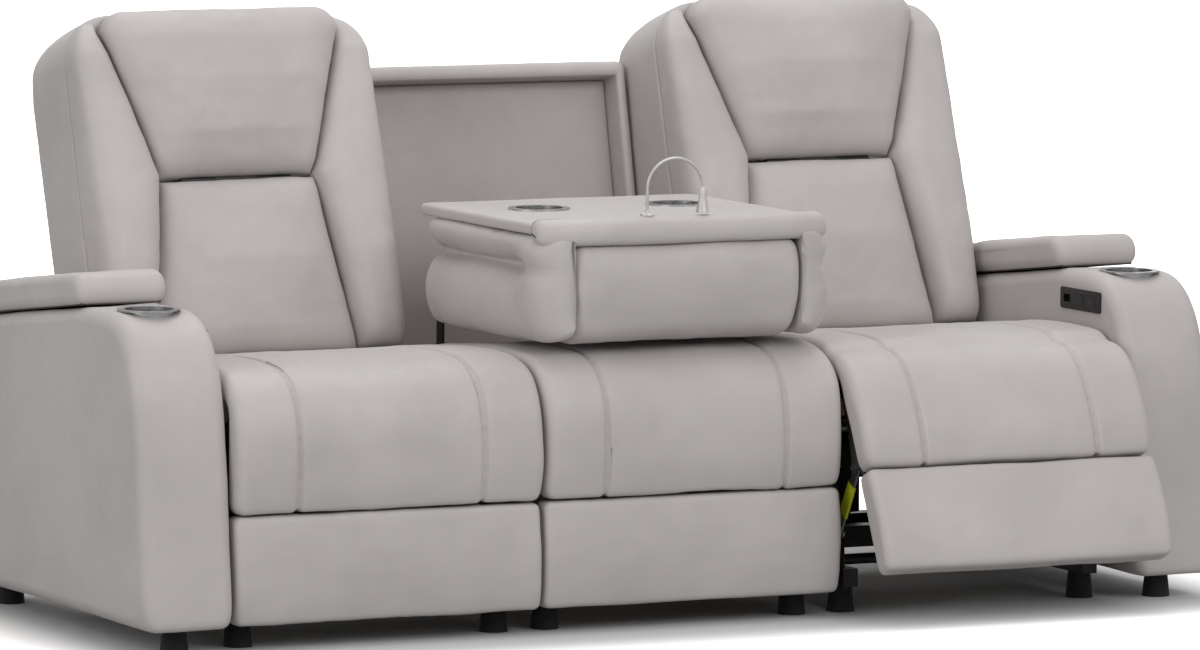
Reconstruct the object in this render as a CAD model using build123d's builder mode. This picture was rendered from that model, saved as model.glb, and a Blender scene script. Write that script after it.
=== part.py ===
"""Three-seat power reclining sofa whose middle back folds down as a console.

Millimetres. x runs to the right of someone facing the sofa, y from front to rear, z up from the floor.
While it is built, y = 0 is the front plane of the seats. At the end everything is moved along y
so that the middle of the overall length and depth stands over the origin.

Side outlines are drawn in (y, z) on planes that face +x. The outlines of the backs are drawn in
(depth, height) on the same planes leaned back by the rake of the backs.
"""
from build123d import *
from math import atan2, cos, degrees, hypot, radians, sin, sqrt, tan
import os

os.makedirs("parts", exist_ok=True)

# ------------------------------------------------------------------ driving sizes
# layout across the width
seat_width = 602.0            # one upholstered seat
seat_gap = 4.0                # slack between neighbouring seats and to the arms
arm_width = 176.0

# heights and depths of the seats
skirt_height = 48.0           # floor to the lower edge of the covers
panel_top = 242.0             # top of the lower front panel
seat_bottom = 400.0           # underside of the seat cushions
seat_crown = 503.0            # highest line of the seat cushions
seat_rear_top = 468.0         # seat surface where it meets the backs
seat_rear = 556.0             # rear face of the seat cushions
front_bulge = 30.0            # front pads swell this far in front of the seat plane
board_front = 30.0            # soft front pads end here, boards begin
board_thickness = 12.0
seam_share = 0.30             # lengthwise seams lie this share of the width from the middle line
seam_depth = 8.0
seam_half = 13.0
corner_draw = 15.0            # how far a cushion's end faces are drawn in

# footrest hinge and its parallelogram drive
hinge_y, hinge_z = 38.0, 468.0
roll_radius = 26.5            # front roll of the seat cushion, about the hinge line
lip_radius = 34.0             # outside of the footrest pad where it wraps the roll
lip_angle = 170.0             # the pad wraps the roll up to here, from the rear round over the top
soft_gap = 1.0                # running clearance between the roll and the pad
open_angle = 25.0             # how far the right footrest stands open at rest
footrest_travel = 85.0        # closed to fully open
link_y, link_z = 22.0, -199.0     # coupler pin on the footrest, from the hinge
crank_y, crank_z = 110.0, 340.0   # axis of the torque tube
tube_radius = 11.0
pin_radius = 6.0
fit = 0.05                    # radial clearance of a pin in its bore
plate = 4.0                   # steel plate of brackets and cranks
pin_end = 2.0                 # a pin stands this far out of the last plate
hinge_ear = 13.0              # radius of the plates round the footrest hinge
bracket_inset = 14.0          # seat edge to the footrest bracket
coupler_inset = 20.0
crank_inset = 26.0
side_plate_inset = 34.0
link_width = 24.0
sleeve_half = 34.0            # half the length of the sleeve on a coupler bar
lever_radius = 50.0           # drive lever on the torque tube
lever_pin_radius = 4.0
slot_play = 1.5               # room each way for the lever pin in the drive block
rail_bottom, rail_height, rail_width = 250.0, 24.0, 20.0
rail_front, rail_rear = 54.0, 520.0
rail_bar_y, rail_bar = 216.0, 20.0    # square bar between the side plates that carries the rail
gearbox = 62.0
motor_radius, motor_length, motor_cap = 30.0, 108.0, 8.0
socket_radius, socket_depth = 5.0, 14.0   # power socket of the gearbox
block_length, block_width, block_ear = 46.0, 40.0, 6.0
lever_width = 10.0

# base frame
skid_height, skid_width = 34.0, 30.0
skid_front, skid_rear = 46.0, 640.0
cross_rail = 40.0             # square rails that tie the seats and the arms together
cross_rail_ys = (410.0, 590.0)
cross_rail_lap = 8.0          # how deep the cross rails are let into the skids
front_tube_y, front_tube_z, front_tube_radius = 64.0, 98.0, 10.0
foot_radius = 26.0
foot_inset = 40.0             # skid end to the middle of a foot
seat_rail, seat_rail_height = 22.0, 40.0      # timber rails under the cushion
seat_rail_front, seat_rail_rear = 96.0, 548.0
box_wall = 18.0               # boards of the middle seat's box
box_front, box_rear = 62.0, 838.0
box_board_height = 220.0
cross_wall_y = 560.0          # board across the box that carries the fold brackets

# backs
rake = 16.0                   # lean of the seat backs
back_y, back_z = 545.0, 470.0     # where the back's front plane meets the seat
back_height = 656.0
back_shoulder = 156.0         # the bolsters draw in above here, measured down from the top
back_low = -112.0             # the shell reaches this far below the seat line
shell_front, shell_rear = 70.0, 226.0
shell_top_radius = 95.0
shell_rear_radius = 24.0      # of its rear edges along x
recess_below = -34.0          # the shell is narrower below here, to clear its brackets
pivot_depth, pivot_height = 62.0, -84.0   # recline pivot, in the back's own directions
pivot_ear = 20.0              # radius of the plates round the recline pivot
bracket_gap = 1.0             # between the side plates and the back's brackets
headrest_low = 342.0          # lower edge of the headrest pad
headrest_gap = 15.0           # between lumbar pad and headrest, where the hinge lies
headrest_half_low, headrest_half_high = 154.0, 236.0
lumbar_half_low = 204.0
pad_gap = 3.0
hinge_knuckle = 6.0
hinge_leaf = 3.0
headrest_pin_depth = 36.0
leaf_half, knuckle_half = 110.0, 40.0     # halves of the headrest hinge's length and of its middle knuckle

# arms
seated = 0.3                  # slack of a piece that sits on another
arm_front_low, arm_front_high = -36.0, 20.0
arm_front_radius = 110.0
arm_deck_front, arm_deck_rear = 598.0, 525.0
arm_rear = 880.0
arm_edge = 26.0
cup_y = 158.0
cup_bore, cup_depth, cup_wall, cup_flange, cup_rim = 44.0, 72.0, 1.5, 57.0, 3.0
lid_front, lid_rear = 268.0, 752.0
lid_thickness = 60.0
lid_board_thickness = 10.0
lid_lift = 3.0                # gap between the arm's deck and the lid
lid_overhang = 1.0
lid_pin_radius, lid_knuckle = 2.0, 5.0
lid_leaf, lid_leaf_half = 32.0, 60.0
bin_width, bin_length, bin_depth, bin_wall = 116.0, 300.0, 130.0, 3.0
bin_front = 320.0
switch_y, switch_z = 182.0, 546.0
switch_length, switch_height, switch_depth = 152.0, 40.0, 14.0
switch_proud, switch_edge = 3.0, 4.0
rocker_length, rocker_height = 34.0, 20.0
rocker_pin, rocker_sink = 2.0, 5.0    # pin radius, and its depth behind the plate's face
port_length, port_height, port_depth = 26.0, 15.0, 7.0

# console
fold_y, fold_z = 570.0, 530.0     # its hinge line
fold_ear = 13.0               # radius of the plates round the fold pins
bracket_drop, bracket_foot = 60.0, 16.0   # the fold brackets' hold on the rear of the cross wall
fold_travel = 102.0
table_z = 737.0
table_thickness = 22.0
console_slack = 4.0           # seat edge to the console's side
bolster_width = 73.0
console_front = 12.0          # front of the pillow
console_low = 516.0
pillow_rear = 226.0           # where the pillow ends and the core begins
pillow_rise = 8.0             # the pillow's rolled front stands this far above the table
table_front = 64.0
table_corner, table_edge = 24.0, 6.0
bolster_front, bolster_rear = 22.0, 526.0
bolster_crease = 138.0        # height of the crease above the underside
console_cup_x, console_cup_y = 141.0, 345.0
frame_clearance = 6.0         # between the raised console and the fixed frame
frame_depth, frame_wall = 86.0, 20.0
frame_side_band, frame_top_band = 20.0, 29.0
frame_top = 968.0
frame_foot, recess_low = -160.0, -70.0    # its lower end and its recess's, along it from the fold line
panel_board = 8.0
lamp_x, lamp_y = -70.0, 44.0
lamp_base_radius, lamp_base_height = 13.0, 7.0
lamp_rise, lamp_reach, stem_radius = 104.0, 112.0, 4.5
lamp_head_length, lamp_head_top, lamp_head_radius = 46.0, 8.0, 15.0

# ------------------------------------------------------------------ worked-out sizes
seat_pitch = seat_width + seat_gap
seat_half = seat_width / 2
arm_inner = 1.5 * seat_pitch + seat_gap / 2
arm_outer = arm_inner + arm_width
arm_middle = (arm_inner + arm_outer) / 2
deck_slope = degrees(atan2(arm_deck_front - arm_deck_rear, arm_rear - lid_front))
board_rear = board_front + board_thickness
coupler_y, coupler_z = crank_y - hinge_y, crank_z - hinge_z
crank_radius = hypot(link_y, link_z)
fold_drop = table_z - fold_z
console_half = seat_half - console_slack
core_half = console_half - bolster_width
rake_dir = Vector(0, sin(radians(rake)), cos(radians(rake)))
lever_rate = lever_radius * sin(radians(footrest_travel / 2)) / radians(footrest_travel / 2)
sides = {"left": -1, "right": 1}


# ------------------------------------------------------------------ helpers
def side_plane(x, lean=0.0, y=0.0, z=0.0):
    """A plane facing +x. Its own x runs to the rear, its own y runs up, leaned back by lean."""
    a = radians(lean)
    return Plane(origin=(x, y, z), x_dir=(0, cos(a), -sin(a)), z_dir=(1, 0, 0))


def back_plane(x):
    return side_plane(x, rake, back_y, back_z)


def level_plane(height):
    """Across the back at this height: its own x is the sofa's x, its own y runs to the rear."""
    origin = Vector(0, back_y, back_z) + rake_dir * height
    return Plane(origin=origin, x_dir=(1, 0, 0), z_dir=rake_dir)


def turned(y, z, angle, about=(0.0, 0.0)):
    """A point of the side view turned by angle, bottom towards the front, about a line along x."""
    a = radians(angle)
    dy, dz = y - about[0], z - about[1]
    return about[0] + dy * cos(a) + dz * sin(a), about[1] + dz * cos(a) - dy * sin(a)


def back_point(depth, height):
    """(y, z) of a point given in the back's own directions."""
    a = radians(rake)
    return back_y + depth * cos(a) + height * sin(a), back_z - depth * sin(a) + height * cos(a)


def open_footrest(piece, angle):
    """The piece turned about the footrest hinge."""
    return piece.rotate(Axis((0, hinge_y, hinge_z), (-1, 0, 0)), angle)


def both_ends(inset, thickness):
    """Start positions along x, from a seat's middle, of a plate near each of its ends."""
    return (-seat_half + inset, seat_half - inset - thickness)


finished = {}


def keep(name, piece):
    piece.label = name
    finished[name] = piece


# ------------------------------------------------------------------ soft forms
def seat_stations():
    """(x, draw) across a seat: drawn-in ends, two sewn seams and full lobes between them."""
    seam = seam_share * seat_width
    half = [(0.0, 0.0), (seam - seam_half, 1.0), (seam, seam_depth), (seam + seam_half, 1.0),
            (seat_half - corner_draw * 1.6, 0.5), (seat_half - corner_draw * 0.5, corner_draw * 0.28),
            (seat_half, corner_draw)]
    return [(-x, d) for x, d in reversed(half[1:])] + half


def recliner_seat_outline(draw):
    radius = roll_radius - min(draw, 8.0) * 0.6
    with BuildLine() as line:
        ThreePointArc((hinge_y, hinge_z - radius), (hinge_y - radius, hinge_z),
                      (hinge_y, hinge_z + radius))
        ThreePointArc((hinge_y, hinge_z + radius), (0.42 * seat_rear, seat_crown - draw),
                      (seat_rear, seat_rear_top - draw))
        Polyline((seat_rear, seat_rear_top - draw), (seat_rear, seat_bottom),
                 (hinge_y + 40, seat_bottom), (hinge_y, hinge_z - radius))
    return line


def middle_seat_outline(draw):
    bulge = -front_bulge + draw
    with BuildLine() as line:
        ThreePointArc((bulge + 14, panel_top + 4), (bulge, (panel_top + hinge_z) / 2 - 30),
                      (hinge_y - lip_radius + draw, hinge_z))
        ThreePointArc((hinge_y - lip_radius + draw, hinge_z),
                      (hinge_y - 0.68 * (lip_radius - draw), hinge_z + 0.7 * (lip_radius - draw)),
                      (hinge_y + 12, seat_crown - 5 - draw))
        ThreePointArc((hinge_y + 12, seat_crown - 5 - draw), (0.42 * seat_rear, seat_crown - draw),
                      (seat_rear, seat_rear_top - draw))
        Polyline((seat_rear, seat_rear_top - draw), (seat_rear, seat_bottom),
                 (board_front, seat_bottom), (board_front, panel_top + 4), (bulge + 14, panel_top + 4))
    return line


def footrest_pad_outline(draw):
    bulge = -front_bulge + draw
    inner = roll_radius + soft_gap
    lip = radians(lip_angle)
    outer = lip_radius - min(draw, 8.0) * 0.5
    tip_in = (hinge_y + inner * cos(lip), hinge_z + inner * sin(lip))
    tip_out = (hinge_y + outer * cos(lip), hinge_z + outer * sin(lip))
    foot = (board_front, hinge_z - sqrt(inner ** 2 - (hinge_y - board_front) ** 2))
    middle = radians(205)
    with BuildLine() as line:
        ThreePointArc((bulge + 14, panel_top + 4), (bulge, (panel_top + hinge_z) / 2 - 30),
                      (hinge_y - outer, hinge_z - 2))
        Line((hinge_y - outer, hinge_z - 2), tip_out)
        Line(tip_out, tip_in)
        ThreePointArc(tip_in, (hinge_y + inner * cos(middle), hinge_z + inner * sin(middle)), foot)
        Polyline(foot, (board_front, panel_top + 4), (bulge + 14, panel_top + 4))
    return line


def front_panel_outline(draw):
    bulge = -front_bulge + 4 + draw
    with BuildLine() as line:
        ThreePointArc((bulge + 10, skirt_height), (bulge, (skirt_height + panel_top) / 2),
                      (bulge + 12, panel_top))
        Polyline((bulge + 12, panel_top), (board_front, panel_top), (board_front, skirt_height),
                 (bulge + 10, skirt_height))
    return line


def lofted(outline, stations, middle_x):
    """A soft piece lofted straight from station to station along x."""
    with BuildPart() as piece:
        for x, draw in stations:
            with BuildSketch(side_plane(middle_x + x)):
                make_face(outline(draw).edges())
        loft(ruled=True)
    return piece.part


def level_loft(levels, x_middle, rear):
    """A pad of the back, lofted up through levels of (height, x_low, x_high, front, edge).

    front is the depth of its crown at that height, and its side edges lie edge further back.
    """
    with BuildPart() as piece:
        for height, x_low, x_high, front, edge in levels:
            low, high = x_middle + x_low, x_middle + x_high
            with BuildSketch(level_plane(height)):
                with BuildLine():
                    Polyline((high, front + edge), (high, rear), (low, rear), (low, front + edge))
                    ThreePointArc((low, front + edge), ((low + high) / 2, front), (high, front + edge))
                make_face()
        loft(ruled=True)
    return piece.part


# ------------------------------------------------------------------ base frame and feet
skid_insets = both_ends(side_plate_inset, skid_width)
skid_top = skirt_height + skid_height
seat_middles = (-seat_pitch, 0.0, seat_pitch)

with BuildPart() as base_frame:
    skid_mid = (skid_front + skid_rear) / 2
    for middle in seat_middles:
        for start in skid_insets:
            with Locations((middle + start + skid_width / 2, skid_mid, skirt_height)):
                Box(skid_width, skid_rear - skid_front, skid_height,
                    align=(Align.CENTER, Align.CENTER, Align.MIN))
    for y in cross_rail_ys:
        with Locations((0, y, skid_top - cross_rail_lap)):
            Box(2 * arm_inner, cross_rail, cross_rail, align=(Align.CENTER, Align.CENTER, Align.MIN))
    for middle in (seat_middles[0], seat_middles[2]):
        reach = seat_half - side_plate_inset
        with Locations((middle, front_tube_y, front_tube_z)):
            Cylinder(front_tube_radius, 2 * reach, rotation=(0, 90, 0))
keep("base_frame", base_frame.part)

foot_ys = (skid_front + foot_inset, skid_rear - foot_inset)
with BuildPart() as feet:
    spots = [(middle + start + skid_width / 2, y) for middle in seat_middles for start in skid_insets
             for y in foot_ys]
    arm_foot_ys = (arm_front_low + 2 * foot_inset, arm_rear - 2 * foot_inset)
    spots += [(sign * arm_middle, y) for sign in sides.values() for y in arm_foot_ys]
    with BuildSketch(Plane.XY):
        with Locations(*spots):
            Circle(foot_radius)
    extrude(amount=skirt_height, taper=6)
keep("feet", feet.part)

# ------------------------------------------------------------------ recliner seats
for side, sign in sides.items():
    middle = sign * seat_pitch
    cushion = lofted(recliner_seat_outline, seat_stations(), middle)
    with BuildPart() as seat_cushion:
        add(cushion)
        kerf_start = bracket_inset - 2
        kerf_width = side_plate_inset + plate + 1 - kerf_start
        for start in both_ends(kerf_start, kerf_width):
            with BuildSketch(side_plane(middle + start)):
                with Locations((hinge_y + 9, (seat_bottom + hinge_z + 15) / 2 - 5)):
                    Rectangle(98, hinge_z + 15 - seat_bottom + 10)
            extrude(amount=kerf_width, mode=Mode.SUBTRACT)
    keep(f"seat_cushion_{side}", seat_cushion.part)

keep("seat_cushion_middle", lofted(middle_seat_outline, seat_stations(), 0.0))

plain_stations = [(-seat_half, corner_draw * 0.7), (-seat_half + corner_draw, 1.0), (0, 0),
                  (seat_half - corner_draw, 1.0), (seat_half, corner_draw * 0.7)]
keep("front_panel_middle", lofted(front_panel_outline, plain_stations, 0.0))

# timber frame under each recliner cushion, and the open box that carries the middle seat
seat_rail_inset = side_plate_inset + plate
box_half = seat_half - side_plate_inset
with BuildPart() as seat_frames:
    for middle in (-seat_pitch, seat_pitch):
        for start in both_ends(seat_rail_inset, seat_rail):
            with Locations((middle + start + seat_rail / 2, (seat_rail_front + seat_rail_rear) / 2,
                            seat_bottom - seat_rail_height / 2)):
                Box(seat_rail, seat_rail_rear - seat_rail_front, seat_rail_height)
        span = seat_width - 2 * seat_rail_inset - 2 * seat_rail
        for y in (seat_rail_front + seat_rail / 2, seat_rail_rear - seat_rail / 2):
            with Locations((middle, y, seat_bottom - seat_rail / 2)):
                Box(span, seat_rail, seat_rail)
    box_mid = (box_front + box_rear) / 2
    for x in (-box_half + box_wall / 2, box_half - box_wall / 2):
        with Locations((x, box_mid, skid_top)):
            Box(box_wall, box_rear - box_front, seat_bottom - skid_top,
                align=(Align.CENTER, Align.CENTER, Align.MIN))
    for y in (box_front + box_wall / 2, cross_wall_y, box_rear - box_wall / 2):
        with Locations((0, y, seat_bottom)):
            Box(2 * box_half, box_wall, box_board_height, align=(Align.CENTER, Align.CENTER, Align.MAX))
    # battens that the middle cushion's front and its front panel are fixed to
    for x in (-box_half + box_wall, box_half - box_wall):
        with Locations((x, (board_front + box_front) / 2, skid_top)):
            Box(2 * box_wall, box_front - board_front, seat_bottom - skid_top,
                align=(Align.CENTER, Align.CENTER, Align.MIN))
    for y in cross_rail_ys:
        with Locations((0, y, skid_top - cross_rail_lap)):
            Box(2 * arm_inner, cross_rail + seated, cross_rail + seated, mode=Mode.SUBTRACT,
                align=(Align.CENTER, Align.CENTER, Align.MIN))
keep("seat_frames", seat_frames.part)

# ------------------------------------------------------------------ recliner mechanism
back_pivot_y, back_pivot_z = back_point(pivot_depth, pivot_height)

with BuildPart() as mechanism_plates:
    for middle in (-seat_pitch, seat_pitch):
        for start in both_ends(side_plate_inset, plate):
            with BuildSketch(side_plane(middle + start)):
                with BuildSketch(mode=Mode.PRIVATE) as ear:
                    with Locations((hinge_y, hinge_z), (crank_y, crank_z)):
                        Circle(hinge_ear - 3)
                    make_hull()
                add(ear.sketch)
                with Locations((hinge_y, hinge_z)):
                    Circle(hinge_ear)
                with Locations((crank_y, crank_z)):
                    Circle(tube_radius + 15)
                # from the torque tube up along the seat rail to the recline pivot, down to the skid
                with BuildLine():
                    Polyline((crank_y - 18, crank_z + 10), (seat_rail_rear - 20, seat_bottom - 4),
                             (back_pivot_y, back_pivot_z + pivot_ear),
                             (back_pivot_y, back_pivot_z - pivot_ear),
                             (rail_bar_y + 84, rail_bottom + 40), (crank_y + 60, skid_top),
                             (front_tube_y - 16, skid_top), (front_tube_y - 14, front_tube_z + 20),
                             close=True)
                make_face()
                with Locations((back_pivot_y, back_pivot_z)):
                    Circle(pivot_ear)
                with Locations((crank_y, crank_z)):
                    Circle(tube_radius + fit, mode=Mode.SUBTRACT)
                with Locations((front_tube_y, front_tube_z)):
                    Circle(front_tube_radius, mode=Mode.SUBTRACT)
            extrude(amount=plate)
        for end in (-1, 1):
            # hinge pins out to the footrest brackets, recline pins in to the back's brackets
            hinge_pin = side_plate_inset + plate - bracket_inset + pin_end
            hinge_pin_x = middle + end * (seat_half - bracket_inset + pin_end - hinge_pin / 2)
            with Locations((hinge_pin_x, hinge_y, hinge_z)):
                Cylinder(pin_radius, hinge_pin, rotation=(0, 90, 0))
            recline_pin = 2 * plate + bracket_gap - seated
            recline_pin_x = middle + end * (seat_half - side_plate_inset - recline_pin / 2)
            with Locations((recline_pin_x, back_pivot_y, back_pivot_z)):
                Cylinder(pin_radius, recline_pin, rotation=(0, 90, 0))
keep("mechanism_plates", mechanism_plates.part)

for side, sign in sides.items():
    middle = sign * seat_pitch
    angle = open_angle if side == "right" else 0.0

    pad = lofted(footrest_pad_outline, seat_stations(), middle)
    panel = lofted(front_panel_outline, plain_stations, middle)

    # steel back sheet of the footrest with a bracket at each end
    with BuildPart() as footrest_frame:
        board_low, board_high = skirt_height + 12, hinge_z - 44
        board_half = seat_half - bracket_inset - plate
        with Locations((middle, board_front + board_thickness / 2, (board_low + board_high) / 2)):
            Box(2 * board_half, board_thickness, board_high - board_low)
        link_spot = (hinge_y + link_y, hinge_z + link_z)
        for start in both_ends(bracket_inset, plate):
            with BuildSketch(side_plane(middle + start)):
                with BuildLine():
                    Polyline((board_front + seated, hinge_z), (board_front + seated, link_spot[1] - 8),
                             (link_spot[0], link_spot[1] - link_width / 3),
                             (link_spot[0] + 4, link_spot[1]), (hinge_y + 12, hinge_z - 90),
                             (hinge_y + 10, hinge_z), close=True)
                make_face()
                with Locations((hinge_y, hinge_z), link_spot):
                    Circle(link_width / 2)
                with Locations((hinge_y, hinge_z), link_spot):
                    Circle(pin_radius + fit, mode=Mode.SUBTRACT)
            extrude(amount=plate)

    for name, piece in (("pad", pad), ("panel", panel), ("frame", footrest_frame.part)):
        keep(f"footrest_{name}_{side}", open_footrest(piece, angle))

    # torque tube with its two cranks and the drive lever
    elbow = turned(link_y, link_z, angle)
    crank_end = (crank_y + elbow[0], crank_z + elbow[1])
    lever_angle = angle - footrest_travel / 2
    lever_end = turned(crank_y, crank_z - lever_radius, lever_angle, (crank_y, crank_z))
    with BuildPart() as torque_tube:
        with BuildSketch(side_plane(middle - seat_half + crank_inset)):
            with Locations((crank_y, crank_z)):
                Circle(tube_radius)
        extrude(amount=seat_width - 2 * crank_inset)
        for start in both_ends(crank_inset, plate):
            with BuildSketch(side_plane(middle + start)):
                with Locations((crank_y, crank_z)):
                    Circle(18)
                with Locations(crank_end):
                    Circle(link_width / 2 - 1)
                make_hull()
                with Locations(crank_end):
                    Circle(pin_radius + fit, mode=Mode.SUBTRACT)
            extrude(amount=plate)
        with BuildSketch(side_plane(middle - lever_width / 2)):
            with Locations((crank_y, crank_z)):
                Circle(tube_radius + 6)
            with Locations(lever_end):
                Circle(2 * lever_pin_radius)
            make_hull()
        extrude(amount=lever_width)
        lever_pin_half = lever_width / 2 + block_ear + 4
        with BuildSketch(side_plane(middle - lever_pin_half)):
            with Locations(lever_end):
                Circle(lever_pin_radius)
        extrude(amount=2 * lever_pin_half)
    keep(f"torque_tube_{side}", torque_tube.part)

    # coupler bars from the footrest brackets to the cranks, each with its two pins
    link_now = turned(hinge_y + link_y, hinge_z + link_z, angle, (hinge_y, hinge_z))
    with BuildPart() as coupler_bars:
        for start, outward in zip(both_ends(coupler_inset, plate), (-1, 1)):
            with BuildSketch(side_plane(middle + start)):
                with Locations(link_now, crank_end):
                    Circle(link_width / 2 - 2)
                make_hull()
            extrude(amount=plate)
            bar_middle = middle + start + plate / 2
            for (y, z), reach in ((link_now, outward), (crank_end, -outward)):
                length = plate + 7.5
                with Locations((bar_middle + reach * (length / 2), y, z)):
                    Cylinder(pin_radius, length, rotation=(0, 90, 0))
    keep(f"coupler_bars_{side}", coupler_bars.part)

    with BuildPart() as coupler_sleeves:
        lean = degrees(atan2(coupler_y, -coupler_z))
        for start in both_ends(coupler_inset, plate):
            centre = (middle + start + plate / 2, (link_now[0] + crank_end[0]) / 2,
                      (link_now[1] + crank_end[1]) / 2)
            with BuildSketch(Plane(origin=centre, x_dir=(1, 0, 0), z_dir=(0, coupler_y, coupler_z))):
                RectangleRounded(plate + 1.6, link_width + 1, 0.7)
                Rectangle(plate, link_width - 4, mode=Mode.SUBTRACT)
            extrude(amount=sleeve_half, both=True)
    keep(f"coupler_sleeves_{side}", coupler_sleeves.part)

    # drive block: rides on the rail, its two slotted ears take the lever pin. It moves in proportion
    # to the turn of the lever, so the slots have the play that the pin's arc needs
    block_y = crank_y - lever_rate * radians(lever_angle)
    with BuildPart() as drive_block:
        block_low, block_high = rail_bottom - 6, rail_bottom + rail_height + 8
        with Locations((middle, block_y, (block_low + block_high) / 2)):
            Box(block_width, block_length, block_high - block_low)
        with Locations((middle, block_y, rail_bottom + rail_height / 2)):
            Box(rail_width + 2 * seated, block_length + 2, rail_height + 2 * seated, mode=Mode.SUBTRACT)
        pin_low = crank_z - lever_radius
        pin_high = crank_z - lever_radius * cos(radians(footrest_travel / 2))
        ear_top = pin_high + lever_pin_radius + slot_play + 5
        for x in (-lever_width / 2 - 2 - block_ear, lever_width / 2 + 2):
            with BuildSketch(side_plane(middle + x)):
                with Locations((block_y, (block_high + ear_top) / 2 - 1)):
                    Rectangle(block_length - 12, ear_top - block_high + 2)
                with Locations((block_y, (pin_low + pin_high) / 2)):
                    SlotCenterToCenter(pin_high - pin_low + 2 * fit, 2 * (lever_pin_radius + slot_play),
                                       rotation=90, mode=Mode.SUBTRACT)
            extrude(amount=block_ear)
    keep(f"drive_block_{side}", drive_block.part)

# rail, gearbox and hanging motor of each drive, with the bar and the strap that carry them
with BuildPart() as actuators:
    for middle in (-seat_pitch, seat_pitch):
        gearbox_y = rail_rear + gearbox / 2
        gearbox_z = rail_bottom + rail_height / 2
        with Locations((middle, (rail_front + rail_rear) / 2, gearbox_z)):
            Box(rail_width, rail_rear - rail_front, rail_height)
        with Locations((middle, rail_bar_y, rail_bottom - rail_bar / 2)):
            Box(seat_width - 2 * (side_plate_inset + plate), rail_bar, rail_bar)
        with Locations((middle, gearbox_y, gearbox_z)):
            Box(gearbox, gearbox, gearbox)
        with Locations((middle, gearbox_y, gearbox_z - gearbox / 2)):
            Cylinder(motor_radius, motor_length, align=(Align.CENTER, Align.CENTER, Align.MAX))
        with Locations((middle, gearbox_y, gearbox_z - gearbox / 2 - motor_length)):
            Cylinder(motor_radius * 0.45, motor_cap, align=(Align.CENTER, Align.CENTER, Align.MAX))
        # strap up to the rear rail of the seat frame
        strap_low = gearbox_z + gearbox / 2
        strap_high = seat_bottom - seat_rail
        with Locations((middle, seat_rail_rear - seat_rail / 2, (strap_low + strap_high) / 2)):
            Box(gearbox * 0.7, 5, strap_high - strap_low)
        # power socket in the rear face of the gearbox
        with Locations((middle, rail_rear + gearbox, gearbox_z)):
            Cylinder(socket_radius, 2 * socket_depth, rotation=(90, 0, 0), mode=Mode.SUBTRACT)
keep("actuators", actuators.part)


# ------------------------------------------------------------------ seat backs
def face_plane(depth, x=0.0):
    """Parallel to the front of the back, facing forwards, with its own y running up the back."""
    a = radians(rake)
    origin = (x, back_y + depth * cos(a), back_z - depth * sin(a))
    return Plane(origin=origin, x_dir=(1, 0, 0), z_dir=(0, -cos(a), sin(a)))


def lumbar_half(height):
    share = height / headrest_low
    return lumbar_half_low + (headrest_half_low - lumbar_half_low) * share


def headrest_half(height):
    share = (height - headrest_low) / (back_height - 40 - headrest_low)
    return headrest_half_low + (headrest_half_high - headrest_half_low) * share


back_half = seat_half - 2
back_bracket_inset = side_plate_inset + plate + bracket_gap
recess_half = seat_half - back_bracket_inset - plate
lumbar_high = headrest_low - headrest_gap
shoulder = back_height - back_shoulder
wing_levels = ((4, -16, 20), (60, -24, 20), (190, -28, 22), (headrest_low - 12, -12, 22),
               (shoulder - 30, 0, 20), (back_height - 81, 18, 16))

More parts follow.
